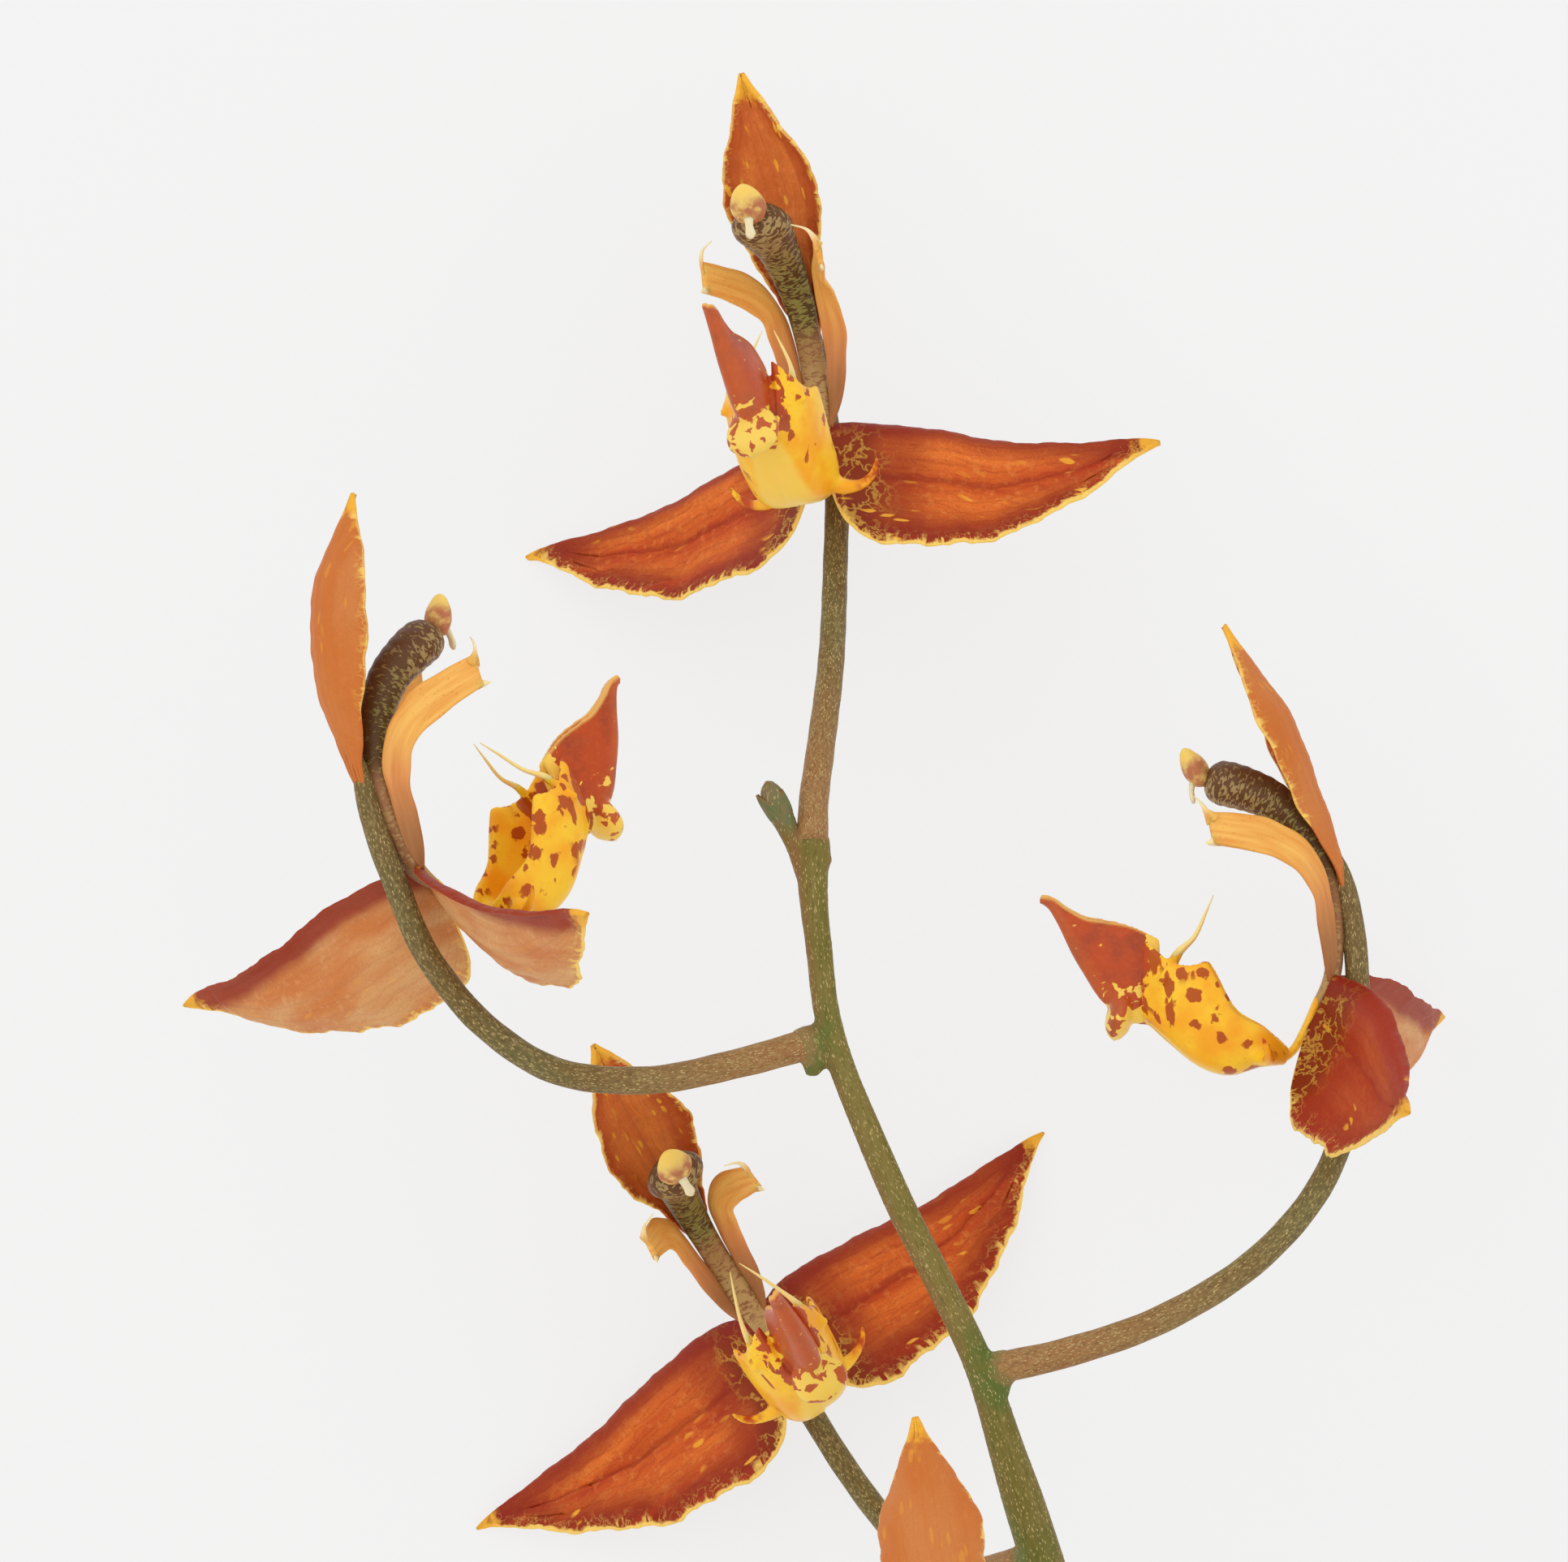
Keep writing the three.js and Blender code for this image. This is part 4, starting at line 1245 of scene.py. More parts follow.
@dataclass
class Petals:
    """The two petals of one flower: straps beside the column that bend forward and end in an awn."""

    flower: Flower
    thickness: float = 0.4
    route: Pairs = ((0.85, -5.2, -7.05), (1.2, -3.4, -7.1), (1.4, -1.2, -6.85), (1.6, 1.5, -6.4),
                    (1.9, 3.8, -5.0), (2.7, 5.0, -2.9), (3.7, 5.5, -0.6), (4.5, 5.7, 1.4))
    half: Pairs = ((0, 0.12), (0.08, 0.55), (0.2, 0.8), (0.35, 0.88), (0.52, 1.05), (0.71, 1.3), (0.88, 1.25),
                   (1, 1.15))
    lean: Pairs = ((0, 1.4), (0.42, 0.95), (0.63, 0.35), (1, 0.1))
    twist: Pairs = ((0, 0.65), (0.35, 0.75), (0.63, 0.3), (1, 0.1))
    cut_from: float = 0.8
    cut: float = 0.7
    wave: Pairs = ((4, 1), (2.1, 0.6))
    waviness: float = 0.05
    curl: float = 0.25
    awn: Limb = Limb(((4.5, 6.25, 1.2), (4.4, 6.9, 1.75), (4.05, 7.5, 2.15), (3.1, 7.95, 2.6)),
                     ((0, 0.62, 0.19), (0.25, 0.3, 0.15), (0.6, 0.11, 0.09), (1, 0.04, 0.04)),
                     18, 12, (0, 1, 0.3))
    tooth: Limb = Limb(((4.4, 4.85, 0.9), (4.6, 4.7, 1.35), (4.7, 4.6, 1.75)),
                       ((0, 0.4, 0.17), (0.6, 0.2, 0.12), (1, 0.05, 0.05)), 18, 12, (0, 1, 0.3))

    def petal(self, side: int) -> Skin:
        """One petal, in the flower's own frame.

        Args:
            side: -1 for the left one, 1 for the right one.

        Returns:
            Its skin.
        """
        curve = Route(np.asarray(self.route) * (side, 1, 1))
        seed = self.flower.seed + 2 * side

        def surface(u: Array, v: Array) -> Array:
            """The strap's middle surface."""
            lean, half = along(self.lean, u), along(self.half, u)
            half = half + self.waviness * ripple(u * 13, seed, self.wave) * np.sin(np.pi * u)
            across = half * (2 * v - 1)
            cut = np.maximum(0, u - self.cut_from) / (1 - self.cut_from) * (v - 0.5) * self.cut
            own = self.flower.petal_turns[(side + 1) // 2] * np.sin(np.pi * np.minimum(1, 1.2 * u))
            curl = self.curl * (2 * v - 1) ** 2 * np.sin(np.pi * u) * side + 0.7 * own * side
            twist = (along(self.twist, u) + own) * side
            wide = np.stack([-np.sin(twist), np.cos(twist) * np.cos(lean), -np.cos(twist) * np.sin(lean)], -1)
            return curve.at(u) + wide * across[..., None] + np.stack([curl, 0 * cut, cut], -1)

        def values(u: Array, v: Array) -> Values:
            """What the finish reads."""
            grow = np.stack([u * curve.length, (2 * v - 1) * along(self.half, u),
                             np.full_like(u, seed * 2.7)], -1)
            return {"grow": grow, "share": u}

        ends = [end.skin(side) for end in (self.awn, self.tooth)]
        for end in ends:
            end.values["share"] += 1
        return Skin.joined([sheet(surface, self.thickness, 64, 18, (side, 0, 0), values), *ends])

    def build(self, wardrobe: Wardrobe) -> None:
        """Makes both petals.

        Args:
            wardrobe: the finishes.
        """
        for side, hand in SIDES:
            node = f"{self.flower.name}_{hand}_petal"
            skin = self.petal(side).placed(self.flower.place)
            make_piece(f"{node}_strap", skin, wardrobe.petal, "petal", (node,))


@dataclass
class Column:
    """The arched column of one flower, and the anther cap at its end."""

    flower: Flower
    arch: Limb = Limb(
        ((0, 9.2, 1.75), (0, 8.6, -0.7), (0, 7.7, -2.8), (0, 6.2, -4.5), (0, 4.2, -6.0), (0, 2.0, -6.85),
         (0, -0.8, -7.4), (0, -3.2, -7.4), (0, -5.2, -7.1), (0, -7.0, -6.05)),
        ((0, 0.9, 0.8), (0.012, 1.45, 1.2), (0.04, 1.85, 1.55), (0.09, 1.9, 1.6), (0.16, 1.68, 1.5),
         (0.35, 1.3, 1.2), (0.45, 1.15, 0.95), (0.56, 1.0, 0.75), (0.7, 0.95, 0.65), (0.9, 0.9, 0.6),
         (0.97, 0.62, 0.42), (1, 0.45, 0.35)), 130, 36, dome=0.2)
    wing: float = 0.16
    ridge: float = 0.06
    roughness: float = 0.015
    cap: Limb = Limb(
        ((0, 8.9, 2.0), (0, 9.9, 2.55), (0, 10.7, 3.05), (0, 11.4, 3.45)),
        ((0, 0.8, 0.5), (0.12, 1.05, 0.72), (0.35, 1.25, 0.85), (0.6, 1.12, 0.78), (0.82, 0.82, 0.55),
         (0.94, 0.5, 0.36), (1, 0.2, 0.15)), 34, 24)
    cap_ridge: float = 0.1
    tongue: Limb = Limb(((0, 9.3, 2.7), (0, 8.4, 2.85), (0, 7.5, 2.7)),
                        ((0, 0.42, 0.3), (0.5, 0.3, 0.2), (0.85, 0.38, 0.2), (1, 0.15, 0.12)), 20, 14)

    def arched(self, u: Array, angle: Array) -> Array:
        """The swell of the column: wings at the sides of its head, a ridge down its back, rough bars.

        Args:
            u: shares of its length.
            angle: places round it, in radians.

        Returns:
            A factor on its radius.
        """
        head = np.exp(-((u - 0.1) / 0.09) ** 2)
        ridge = self.ridge * np.exp(-((u - 0.3) / 0.2) ** 2) * np.maximum(0, -np.sin(angle)) ** 4
        rough = self.roughness * np.sin(u * 160 + 2 * np.sin(3 * angle + self.flower.seed))
        return 1 + self.wing * head * np.abs(np.cos(angle)) ** 5 + ridge + rough * (u < 0.5)

    def capped(self, u: Array, angle: Array) -> Array:
        """The swell of the cap: a low ridge down its front and a dimple beside it."""
        return 1 + self.cap_ridge * np.cos(2 * angle) ** 2 * np.sin(np.pi * u)

    def build(self, wardrobe: Wardrobe) -> None:
        """Makes the column, and its cap with the tongue under it.

        Args:
            wardrobe: the finishes.
        """
        tongue = self.tongue.skin()
        tongue.values["tongue"] = np.ones(len(tongue.points))
        cap = Skin.joined([self.cap.skin(swell=self.capped), tongue])
        arch = self.arch.skin(swell=self.arched)
        for skin, part, material, kind in ((arch, "arch", wardrobe.column, "column"),
                                           (cap, "bulb", wardrobe.cap, "anther_cap")):
            skin.values["grow"] = skin.values["grow"] + (0, 0, self.flower.seed)
            node = f"{self.flower.name}_{kind}"
            make_piece(f"{node}_{part}", skin.placed(self.flower.place), material, kind, (node,))


@dataclass
class Lip:
    """The lip: a trough on a thin claw, with horns, bristles, a chin and a folded blade."""

    wall: float = 0.62
    voxel: float = 0.17
    claw: Limb = Limb(
        ((0, -6.5, -6.25), (0, -7.4, -5.85), (0, -8.8, -5.2), (0, -10.2, -4.4), (0, -10.7, -3.6),
         (0, -10.3, -2.6)),
        ((0, 0.55, 0.35), (0.4, 0.45, 0.3), (0.8, 0.7, 0.35), (1, 0.9, 0.5)), 30, 16)
    keel: Pairs = ((0, -10.9), (0.2, -11.1), (0.4, -11.6), (0.6, -11.1), (0.8, -9.4), (1, -7.5))
    rim: Pairs = ((0, -9.9), (0.15, -8.5), (0.35, -7.2), (0.5, -4.6), (0.56, -3.75), (0.62, -3.9),
                  (0.7, -4.05), (0.8, -3.9), (0.9, -3.2), (1, -2.4))
    trough_half: Pairs = ((0, 0.65), (0.1, 2.0), (0.25, 2.8), (0.6, 2.85), (0.85, 2.3), (1, 1.4))
    trough_ends: tuple[float, float] = (-3.9, 6.2)
    squareness: int = 4
    blade_top: Pairs = ((0, -2.3), (0.07, -1.95), (0.26, -1.2), (0.48, -0.8), (0.63, -0.6), (0.8, 0.15),
                        (0.9, 0.75), (1, 0.85))
    blade_keel: Pairs = ((0, -8.0), (0.2, -7.9), (0.45, -6.4), (0.6, -4.6), (0.72, -3.0), (0.83, -1.1),
                         (0.92, 0.2), (1, 0.65))
    blade_half: Pairs = ((0, 1.3), (0.3, 1.4), (0.45, 1.25), (0.6, 0.95), (0.8, 0.55), (0.93, 0.34),
                         (1, 0.12))
    closing: float = 0.78
    blade_ends: tuple[float, float] = (5.2, 13.7)
    chin: Limb = Limb(((0, -6.4, 7.6), (0, -7.4, 7.8), (0, -8.4, 8.05), (0, -9.3, 8.25)),
                      ((0, 1.5, 0.8), (0.4, 2.0, 0.95), (0.8, 1.75, 0.85), (1, 0.9, 0.45)), 20, 24)
    horn: Limb = Limb(
        ((1.7, -9.9, -2.0), (2.9, -10.7, -2.4), (4.2, -10.7, -2.8), (5.2, -10.1, -2.7), (5.8, -9.1, -2.3)),
        ((0, 1.0, 0.9), (0.25, 0.8, 0.62), (0.5, 0.5, 0.4), (0.75, 0.3), (0.92, 0.2), (1, 0.1)), 24, 16,
        (0, 0, 1))
    stub: Limb = Limb(((2.45, -5.4, 4.9), (2.4, -4.6, 4.5), (2.25, -3.8, 4.15), (2.1, -3.1, 3.75)),
                      ((0, 0.95, 0.4), (0.35, 0.7, 0.38), (0.7, 0.42, 0.34), (1, 0.28, 0.28)), 16, 14)
    bristle: Limb = Limb(
        ((2.35, -4.7, 4.5), (2.2, -3.3, 3.9), (1.8, -2.1, 2.75), (1.05, -0.35, 1.9), (0.45, 0.9, 1.3)),
        ((0, 0.32), (0.15, 0.3), (0.4, 0.17), (0.75, 0.1), (1, 0.03)), 44, 10)

    def trough(self, u: Array, v: Array) -> Array:
        """The trough's middle surface.

        Args:
            u: shares of its length.
            v: shares of its width, from one rim to the other.

        Returns:
            A point for each pair of shares.
        """
        turn = np.pi * (v - 0.5)
        across, down = np.sin(turn), np.cos(turn)
        stretch = (across**self.squareness + down**self.squareness) ** (-1 / self.squareness)
        keel, rim = along(self.keel, u), along(self.rim, u)
        low, high = self.trough_ends
        flare = 0.4 * np.abs(across) ** 6 * np.sin(np.pi * np.clip((u - 0.25) / 0.75, 0, 1))
        return np.stack([(along(self.trough_half, u) + flare) * across * stretch,
                         keel + (rim - keel) * (1 - down * stretch), low + (high - low) * u], -1)

    def folded(self, u: Array, v: Array) -> Array:
        """The folded blade's middle surface, folded up from a keel along its front.

        Args:
            u: shares of its length.
            v: shares of its width, from one rim to the other.

        Returns:
            A point for each pair of shares.
        """
        place = 2 * v - 1
        turn = np.pi / 2 * place
        keel, top = along(self.blade_keel, u), along(self.blade_top, u)
        low, high = self.blade_ends
        return np.stack([along(self.blade_half, u) * np.sin(turn) * (1 - self.closing * place**2),
                         keel + (top - keel) * (1 - np.cos(turn)), low + (high - low) * u], -1)

    def body(self) -> Skin:
        """All but the bristles and the claw, grown together, in a flower's own frame."""
        skins = [sheet(self.trough, self.wall, 60, 44, (0, 1, 0), edge_power=24),
                 sheet(self.folded, self.wall, 48, 36, (0, 1, 0), edge_power=24), self.chin.skin()]
        skins += [limb.skin(side) for side, _ in SIDES for limb in (self.horn, self.stub)]
        return fused(skins, self.voxel, 4, "lip body")

    def threads(self) -> list[Skin]:
        """The claw and the two bristles."""
        bristles = [self.bristle.skin(side) for side, _ in SIDES]
        for bristle in bristles:
            bristle.values["pale"] = smooth_step(bristle.values["share"], 0.05, 0.3)
        return [self.claw.skin(), *bristles]

    def values(self, points: Array) -> Values:
        """What the finish reads at points of a flower's own frame.

        Args:
            points: the points, as rows.

        Returns:
            A value for each point, by the values' names.
        """
        x, y, z = points.T
        low, high = self.blade_ends
        u = np.clip((z - low) / (high - low), 0, 1)
        start, end = self.trough_ends
        share = np.clip((z - start) / (end - start), 0, 1)
        height = y - along(self.keel, share)
        lift = along(self.rim, share) - y
        side = np.abs(x) / along(self.trough_half, share)
        far = np.linalg.norm(points - (0, -9.2, 8.0), axis=-1)
        belly = smooth_step(-z, -2.6, 0.2)
        wall = smooth_step(side + 0.4 * belly, 0.5, 0.65) * smooth_step(height + belly, 0.3, 0.8)
        return {
            # ridge: where the painted highlight along the blade's keel lies
            "ridge": 1 - smooth_step(y - along(self.blade_keel, u), 0.2, 1.7),
            "folded": smooth_step(z, 4.6, 7.2),
            "edge": smooth_step(y - along(self.blade_top, u), -0.32, -0.12),
            "spread": 0.06 * (far - 1.9) + 0.1 * np.maximum(0, far - 4.8),
            "wall": wall * smooth_step(z, -2.8, -1.6),
            "rim": smooth_step(-lift, -1.7, -0.7) * smooth_step(side, 0.7, 0.9),
            "front": smooth_step(z, 2.6, 3.8) * smooth_step(side, 0.62, 0.8),
            "bib": 1 - smooth_step(side, 0.5, 0.75),
            "horn": smooth_step(np.abs(x), 3.6, 4.6) * smooth_step(-y, 8.8, 9.4),
        }

    def build(self, flower: Flower, body: Skin, wardrobe: Wardrobe) -> None:
        """Makes one flower's lip.

        Args:
            flower: the flower.
            body: the grown body, which every lip starts from.
            wardrobe: the finishes.
        """
        skin = Skin.joined([body, *self.threads()])
        skin.values = {"pale": skin.values["pale"], **self.values(skin.points)}
        skin.values["marked"] = np.full(len(skin.points), flower.marked)
        skin.values["grow"] = skin.points + (flower.seed * 1.7, flower.seed * 0.9, flower.seed * 2.3)
        x, y, z = skin.points.T
        sway = np.stack([0.16 * np.sin(0.45 * z + flower.seed),
                         0.08 * np.sin(0.6 * z + 2 * flower.seed) * np.sign(x),
                         0.1 * np.sin(0.5 * y + flower.seed)], -1)
        calm = smooth_step(z, -4.5, 0)[:, None]
        skin.points = skin.points + sway * calm
        node = f"{flower.name}_lip"
        make_piece(f"{node}_whole", skin.placed(flower.place), wardrobe.lip, "lip", (node,))


@dataclass
class Flecks:
    """Raised pale flecks that Geometry Nodes scatter over a stalk or the stem."""

    length: float = 0.11
    width: float = 0.034
    height: float = 0.012
    smallest: float = 0.55
    largest: float = 1.5

    def tree(self) -> bpy.types.NodeTree:
        """The node tree, with named inputs for its sizes, amount and seed."""
        tree = bpy.data.node_groups.new("flecks", "GeometryNodeTree")
        face = tree.interface
        face.new_socket(name="Geometry", in_out="INPUT", socket_type="NodeSocketGeometry")
        for name in ("Density", "Length", "Width", "Height"):
            face.new_socket(name=name, in_out="INPUT", socket_type="NodeSocketFloat")
        face.new_socket(name="Seed", in_out="INPUT", socket_type="NodeSocketInt")
        face.new_socket(name="Finish", in_out="INPUT", socket_type="NodeSocketMaterial")
        face.new_socket(name="Geometry", in_out="OUTPUT", socket_type="NodeSocketGeometry")
        paint = Paint(tree)
        given = paint.node("NodeGroupInput").outputs
        points = paint.node("GeometryNodeDistributePointsOnFaces",
                            {"Mesh": given["Geometry"], "Density": given["Density"], "Seed": given["Seed"]})
        grain = paint.node("GeometryNodeMeshUVSphere", {"Radius": 1.0, "Segments": 4, "Rings": 2}).outputs[0]
        size = paint.node("ShaderNodeCombineXYZ",
                          {0: given["Length"], 1: given["Width"], 2: given["Height"]}).outputs[0]
        grain = paint.node("GeometryNodeTransform", {"Geometry": grain, "Scale": size}).outputs[0]
        way = paint.node("GeometryNodeInputNamedAttribute", {"Name": "way"},
                         data_type="FLOAT_VECTOR").outputs[0]
        upright = paint.node("FunctionNodeAlignRotationToVector", {"Vector": points.outputs["Normal"]},
                             axis="Z").outputs[0]
        turned = paint.node("FunctionNodeAlignRotationToVector", {"Rotation": upright, "Vector": way},
                            axis="X", pivot_axis="Z").outputs[0]
        vary = paint.node("FunctionNodeRandomValue", {"Seed": given["Seed"]}, data_type="FLOAT")
        vary.inputs[2].default_value, vary.inputs[3].default_value = self.smallest, self.largest
        placed = paint.node("GeometryNodeInstanceOnPoints", {
            "Points": points.outputs["Points"], "Instance": grain, "Rotation": turned,
            "Scale": vary.outputs[1]}).outputs[0]
        real = paint.node("GeometryNodeRealizeInstances", {0: placed}).outputs[0]
        done = paint.node("GeometryNodeSetMaterial",
                          {"Geometry": real, "Material": given["Finish"]}).outputs[0]
        paint.feed(paint.node("NodeGroupOutput").inputs[0], done)
        return tree

    def scatter(self, tree: bpy.types.NodeTree, host: bpy.types.Object, name: str, density: float, seed: int,
                material: bpy.types.Material, slot: str, nodes: tuple[str, ...]) -> None:
        """Scatters flecks over a piece and makes them a piece of their own.

        Args:
            tree: the node tree.
            host: the piece under them.
            name: the new piece's name.
            density: flecks in a square millimetre.
            seed: fixes where they lie.
            material: their finish.
            slot: the record's material slot.
            nodes: the CAD nodes that they stand for.
        """
        work = add_object(name, host.data.copy())
        modifier = work.modifiers.new("flecks", "NODES")
        modifier.node_group = tree
        settings = {"Density": density / MM**2, "Length": self.length * MM, "Width": self.width * MM,
                    "Height": self.height * MM, "Seed": seed, "Finish": material}
        for item in tree.interface.items_tree:
            if item.in_out == "INPUT" and item.name in settings:
                modifier[item.identifier] = settings[item.name]
        mesh, old = evaluated(work), work.data
        work.modifiers.remove(modifier)
        work.data = mesh
        bpy.data.meshes.remove(old)
        register(work, slot, nodes)


@dataclass
class Stalk:
    """A flower stalk, with the ribbed ovary at its flower end."""

    flower: Flower
    ovary: Pairs = ((0, 3.7, -7.6), (0, 2.2, -8.0), (0, 0, -8.5), (0, -3.2, -8.9), (0, -6.0, -9.05),
                    (0, -9.4, -9.2))
    radii: Pairs = ((0, 0.3), (0.02, 0.55), (0.05, 0.7), (0.12, 0.82), (0.3, 0.87), (0.6, 0.95), (0.9, 1.05),
                    (0.985, 1.1), (1, 1.05))
    ribs: float = 0.05
    ovary_share: float = 0.3
    unevenness: float = 0.012
    sunk: float = 1.25
    flecks_per_mm2: float = 9.0

    def build(self, wardrobe: Wardrobe, flecks: Flecks, tree: bpy.types.NodeTree) -> None:
        """Makes the stalk and its flecks.

        Args:
            wardrobe: the finishes.
            flecks: scatters the flecks.
            tree: the flecks' node tree.
        """
        root = np.asarray(self.flower.root)
        end = root + unit(root - np.asarray(self.flower.stalk[-1])) * self.sunk
        points = np.vstack([self.flower.place(np.asarray(self.ovary)), self.flower.stalk, end])

        def swell(u: Array, angle: Array) -> Array:
            """Six low ribs on the ovary that turn slowly, and a little unevenness below it."""
            ribbed = np.exp(-(u / self.ovary_share) ** 2) * self.ribs * np.cos(6 * angle + 5 * u)
            return 1 + ribbed + self.unevenness * np.sin(u * 90 + 2 * angle + self.flower.seed)

        skin = Limb(points, self.radii, 190, 24, (0.3, 0.2, 1), 0.15).skin(swell=swell)
        skin.values["grow"] = skin.values["grow"] + (self.flower.seed * 5, 0, 0)
        node = f"{self.flower.name}_pedicel"
        piece = make_piece(f"{node}_tube", skin, wardrobe.stalk, "pedicel", (node,))
        flecks.scatter(tree, piece, f"{node}_flecks", self.flecks_per_mm2, self.flower.seed, wardrobe.fleck,
                       "pedicel", (node,))


@dataclass
class Stem:
    """The stem with its end bud and the bud's scales, and its swollen nodes."""

    axis: Limb = Limb(
        ((2.0, -4.55, 0), (2.0, -5.2, 0), (2.1, -8.5, 0), (2.5, -12, 0), (2.95, -16, 0), (3.95, -19.8, 0),
         (6.2, -25.4, 0), (8.5, -30.6, 0), (11.0, -35.5, 0), (13.7, -41.1, 0), (16.0, -48.1, 0),
         (18.3, -55.3, 0), (22.6, -70, -0.8), (27.2, -86, -4.4), (31, -104, -12.2), (33.6, -123, -21.2),
         (35.5, -145, -30.4)),
        ((0, 1.05), (0.004, 1.2), (0.012, 1.12), (0.04, 0.98), (0.1, 0.95), (0.16, 1.05), (0.26, 1.1),
         (0.3, 1.3), (0.33, 1.5), (0.45, 1.65), (0.7, 1.8), (1, 1.9)), 300, 28, (0, 0, 1), 0.05)
    bud: Limb = Limb(
        ((2.0, -7.6, 0), (1.45, -6.3, 0), (0.75, -4.45, 0), (-0.05, -2.7, 0), (-0.82, -1.1, 0),
         (-1.2, 0.05, 0)),
        ((0, 0.85), (0.35, 0.72), (0.6, 0.82), (0.8, 0.98), (0.93, 0.72), (1, 0.25)), 40, 20, (0, 0, 1))
    collar: Limb = Limb(((2.04, -3.75, -0.05), (2.02, -4.4, 0), (2.03, -5.2, 0), (2.1, -6.6, 0)),
                        ((0, 1.12), (0.06, 1.2), (0.35, 1.3), (0.7, 1.22), (1, 1.0)), 24, 24, (0, 0, 1))
    bump: Limb = Limb(((2.55, -6.4, 0), (2.9, -5.6, 0.05), (3.0, -4.9, 0.1)),
                      ((0, 0.25), (0.4, 0.52), (0.8, 0.42), (1, 0.2)), 16, 16, (0, 0, 1))
    # Each scale's height on the bud, facing, radius, length, spread in radians and flare
    bud_scales: tuple[tuple[Any, ...], ...] = (
        (0.0, (-1, -0.2, 0.5), 0.82, 2.5, 1.3, 0.1), (0.1, (1, 0.2, 0.6), 0.84, 2.0, 1.2, 0.05),
        (0.2, (0.2, 0, -1), 0.84, 2.7, 1.4, -0.1), (0.9, (0.1, 0.3, 1), 0.7, 2.1, 1.1, -0.35))
    scales_from: float = 0.62
    scales_heading: float = 0.75
    node_past: float = 0.35
    node_below: float = 2.3
    node_radii: Pairs = ((0, 0.5), (0.3, 1.0), (0.7, 1.22), (0.93, 1.2), (1, 1.1))
    voxel: float = 0.26
    flecks_per_mm2: float = 7.5

    def swellings(self, route: Route) -> list[tuple[Array, Array, Array]]:
        """Where each node's swelling starts, bends and ends.

        Args:
            route: the stem's middle line.

        Returns:
            Three points for each node.
        """
        found = []
        for flower in FLOWERS[1:]:
            root = np.asarray(flower.root)
            near = route.at(route.nearest(root[None], 2000))[0]
            out = root + unit(root - np.asarray(flower.stalk[-1])) * self.node_past
            low = (near + root) / 2 + (0, -self.node_below, 0)
            found.append((low, (near + out) / 2, out))
        return found

    def scale_leaf(self, foot: Array, axis: Array, facing: Array, radius: float, length: float,
                   spread: float, flare: float, seed: int) -> Skin:
        """A small pointed scale that clasps a limb.

        Args:
            foot: the point on the limb's middle line where it starts.
            axis: the limb's direction.
            facing: which way the scale's middle lies.
            radius: the limb's radius there.
            length: the scale's length.
            spread: how far round it reaches, in radians each way.
            flare: how far its tip stands off, in mm.
            seed: makes each a little uneven.

        Returns:
            Its skin.
        """
        axis = unit(axis)
        out = unit(facing - axis * (facing @ axis))
        beside = np.cross(axis, out)

        def surface(u: Array, v: Array) -> Array:
            """The scale's middle surface."""
            angle = (2 * v - 1) * spread * (1 - u**1.7 * 0.97)
            reach = radius + 0.05 - 0.3 * np.exp(-u / 0.16) + flare * u**2 + 0.03 * np.sin(9 * v + seed)
            around = out * np.cos(angle)[..., None] + beside * np.sin(angle)[..., None]
            return foot + axis * (u * length)[..., None] + around * reach[..., None]

        def values(u: Array, v: Array) -> Values:
            """What the finish reads."""
            edge = 1 - np.abs(2 * v - 1)
            dry = np.clip(smooth_step(u, 0.72, 1.0) + 0.35 * smooth_step(1 - edge, 0.6, 1.0), 0, 1)
            grow = np.stack([u * length, (2 * v - 1) * radius * 2, np.full_like(u, seed)], -1)
            return {"grow": grow, "scale": np.ones_like(u), "dry": dry}

        return sheet(surface, 0.2, 28, 20, tuple(-out), values)

    def scales(self) -> Skin:
        """The bud's scales."""
        bud = self.bud.line()
        foot, axis = bud.at(np.array(self.scales_from)), bud.heading(np.array(self.scales_heading))
        return Skin.joined([
            self.scale_leaf(foot + axis * rise, axis, np.array(facing, float), *sizes, seed=3 * k)
            for k, (rise, facing, *sizes) in enumerate(self.bud_scales)])

    def values(self, points: Array, route: Route) -> Values:
        """What the finish reads at points of the grown stem.

        Args:
            points: the points, as rows.
            route: the stem's middle line.

        Returns:
            A value for each point, by the values' names.
        """
        share = route.nearest(points)
        past = ((points - route.at(share)) * route.heading(share)).sum(-1) / route.length
        share = np.clip(share + past, 0, 1)
        side = points - route.at(share)
        nodes = np.array([out for _, _, out in self.swellings(route)])
        distance = np.linalg.norm(points[:, None] - nodes[None], axis=-1).min(1)
        bud = smooth_step(points[:, 1], -4.2, -2.6) * (points[:, 0] < 1.6)
        cut = smooth_step(share, 0.9975, 0.999) * (np.linalg.norm(side, axis=-1) < 1.72)
        # Where the painted red-brown highlight lies, strongest on the stem's left side
        flank = smooth_step(-side[:, 0], 0.0, 1.2) + 0.7 * smooth_step(side[:, 0], 0.9, 1.5)
        return {"grow": np.stack([share * route.length, side[:, 0], side[:, 2]], -1),
                "way": route.heading(share), "node": 1 - smooth_step(distance, 1.6, 5.5),
                "join": 1 - smooth_step(distance, 0.8, 2.3), "scale": bud, "cut": cut, "flank": flank,
                "dry": np.zeros(len(points))}

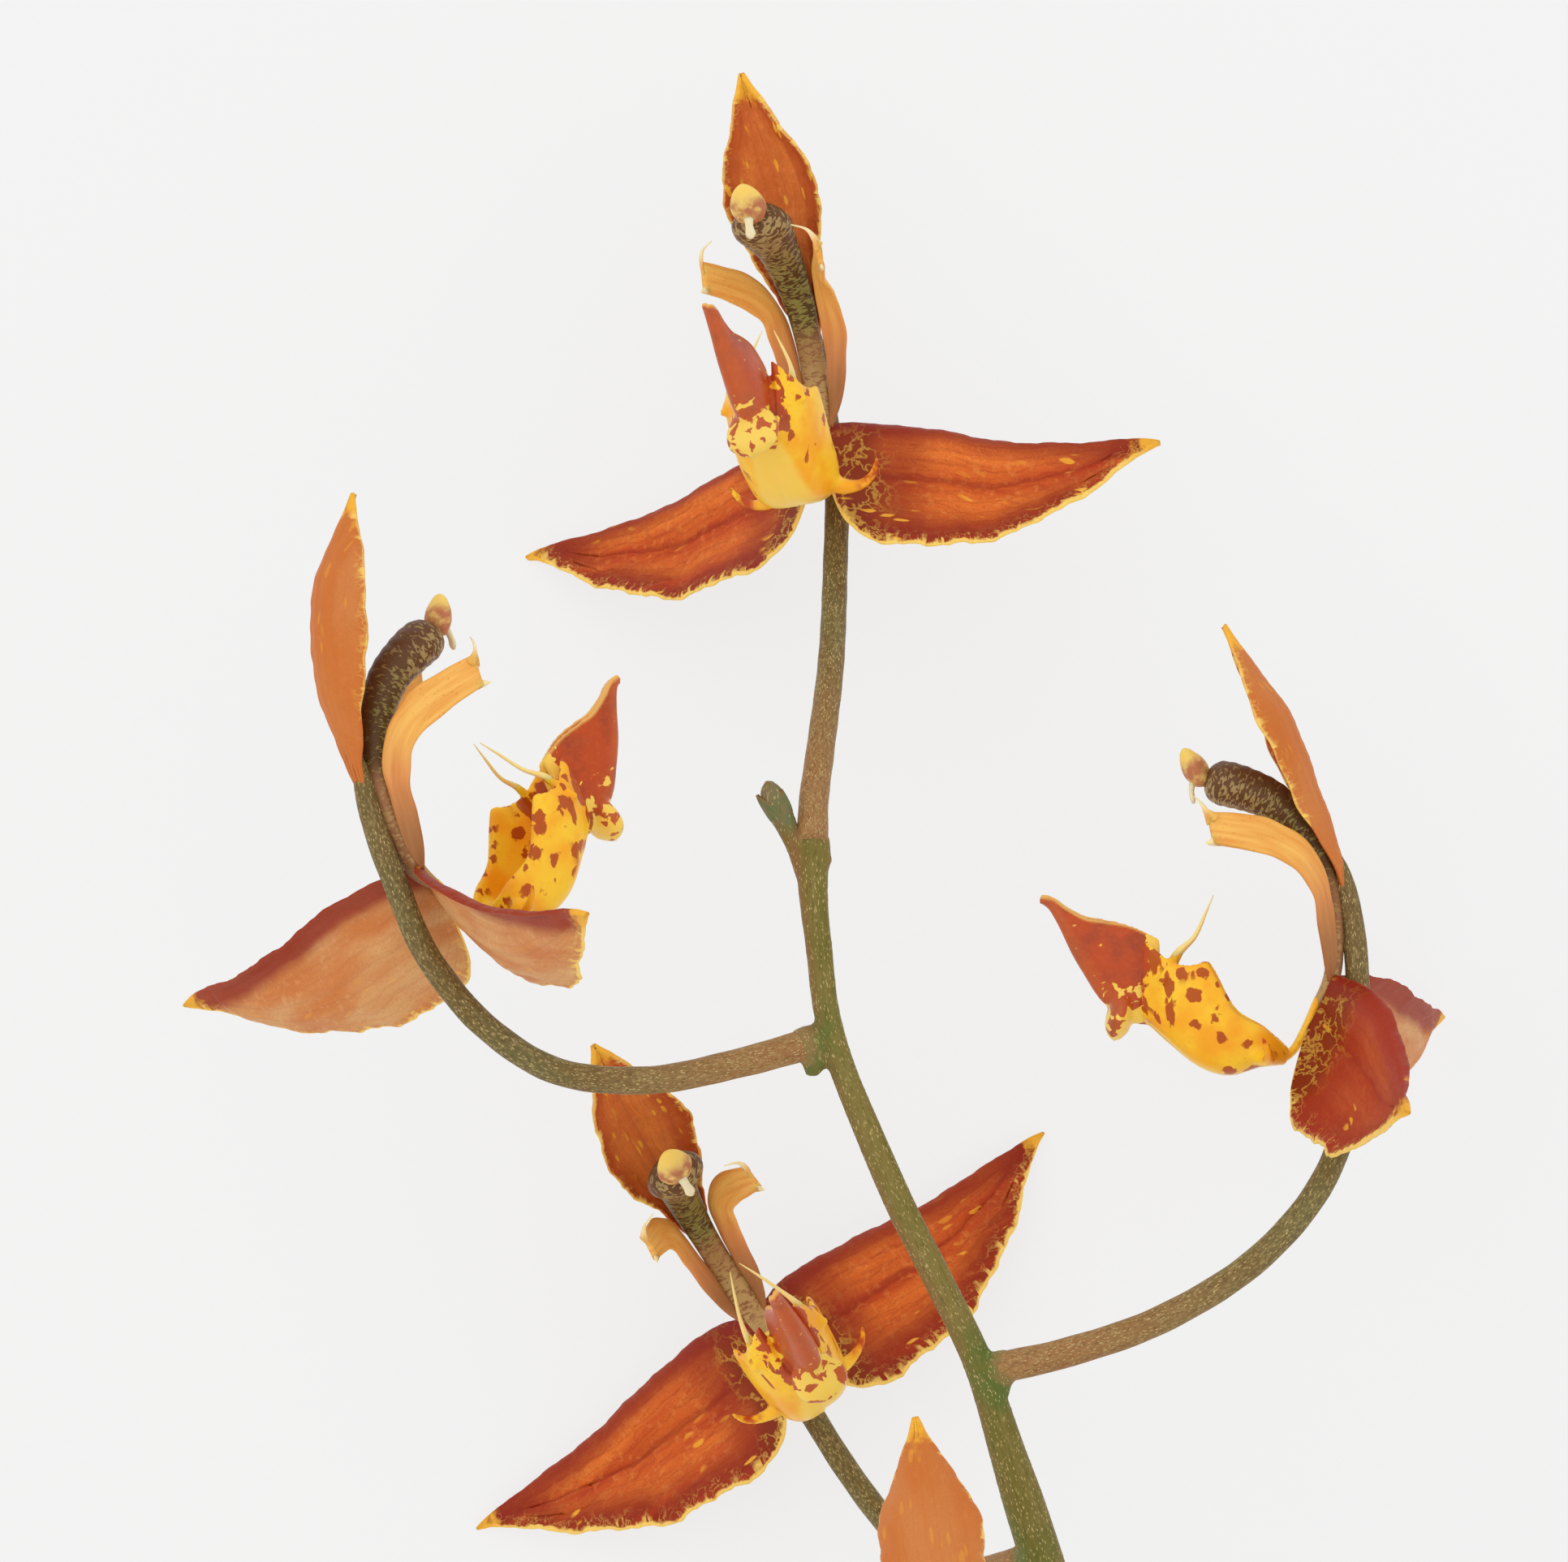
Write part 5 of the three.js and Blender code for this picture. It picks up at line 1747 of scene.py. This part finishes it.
    def build(self, wardrobe: Wardrobe, flecks: Flecks, tree: bpy.types.NodeTree) -> None:
        """Makes the stem, its scales and its flecks.

        Args:
            wardrobe: the finishes.
            flecks: scatters the flecks.
            tree: the flecks' node tree.
        """
        route = self.axis.line()
        skins = [limb.skin() for limb in (self.axis, self.bud, self.collar, self.bump)]
        skins += [Limb(points, self.node_radii, 30, 20, (0, 0, 1)).skin() for points in self.swellings(route)]
        grown = fused(skins, self.voxel, 5, "stem body")
        grown.values = self.values(grown.points, route)
        piece = make_piece("stem_axis", grown, wardrobe.stem, "stem", ("stem",))
        make_piece("stem_scales", self.scales(), wardrobe.stem, "stem", ("stem",))
        flecks.scatter(tree, piece, "stem_flecks", self.flecks_per_mm2, 7, wardrobe.fleck, "stem", ("stem",))


@dataclass
class Studio:
    """The plain floor, the soft lights and the camera."""

    floor_size: float = 6.0
    floor_colour: float = 0.15
    floor_glow: float = 0.735
    sky: float = 0.91
    picture_width: float = 111.03
    camera_distance: float = 500.0
    sensor: float = 36.0
    aim: Triple = (0.0, 0.04, 0.03)
    # Each light's name, place, size and power
    lights: tuple[tuple[str, Triple, float, float], ...] = (
        ("key light", (-0.5, 0.5, 1.0), 1.5, 3.6), ("fill light", (0.8, -0.3, 0.9), 1.5, 1.2))

    def floor(self) -> None:
        """A plain pale floor."""
        half = self.floor_size / 2
        mesh = bpy.data.meshes.new("floor")
        mesh.from_pydata([(-half, -half, 0), (half, -half, 0), (half, half, 0), (-half, half, 0)], [],
                         [(0, 1, 2, 3)])
        mesh.materials.append(plain_material("floor", {
            "Base Color": (*[self.floor_colour] * 3, 1), "Emission Color": (1, 1, 1, 1),
            "Emission Strength": self.floor_glow, "Roughness": 0.9, "Specular IOR Level": 0.1})[0])
        add_object("floor", mesh)

    def light(self, name: str, at: Triple, size: float, power: float) -> None:
        """A square soft light that looks at the middle of the stem.

        Args:
            name: its name.
            at: where it is, in metres.
            size: how wide it is, in metres.
            power: how strong it is, in watts.
        """
        data = bpy.data.lights.new(name, "AREA")
        data.shape, data.size, data.energy = "SQUARE", size, power
        lamp = add_object(name, data)
        lamp.location = at
        aim = Vector((np.array(self.aim) - np.asarray(at)).tolist())
        lamp.rotation_euler = aim.to_track_quat("-Z", "Y").to_euler()

    def camera(self) -> None:
        """The camera, straight above the middle of the photograph."""
        data = bpy.data.cameras.new("camera")
        data.sensor_width = self.sensor
        data.lens = self.sensor * self.camera_distance / self.picture_width
        data.clip_start, data.clip_end = 0.01, 20
        camera = add_object("camera", data)
        camera.location = (SHIFT + (0, 0, self.camera_distance)) * MM
        bpy.context.scene.camera = camera

    def build(self) -> None:
        """Sets up the studio."""
        self.floor()
        self.camera()
        for row in self.lights:
            self.light(*row)
        world = bpy.data.worlds.new("studio")
        world.use_nodes = True
        background = next(node for node in world.node_tree.nodes if node.type == "BACKGROUND")
        background.inputs[0].default_value = (1, 1, 1, 1)
        background.inputs[1].default_value = self.sky
        bpy.context.scene.world = world
        bpy.context.scene.view_settings.view_transform = "Standard"


def main() -> None:
    """Builds the whole scene."""
    logging.basicConfig(level=logging.INFO, format="%(name)s: %(message)s")
    Studio().build()
    wardrobe = Wardrobe()
    flecks = Flecks()
    tree = flecks.tree()
    Stem().build(wardrobe, flecks, tree)
    lip = Lip()
    body = lip.body()
    for flower in FLOWERS:
        Sepals(flower).build(wardrobe)
        Petals(flower).build(wardrobe)
        Column(flower).build(wardrobe)
        lip.build(flower, body, wardrobe)
        Stalk(flower).build(wardrobe, flecks, tree)


if __name__ == "__main__":
    main()
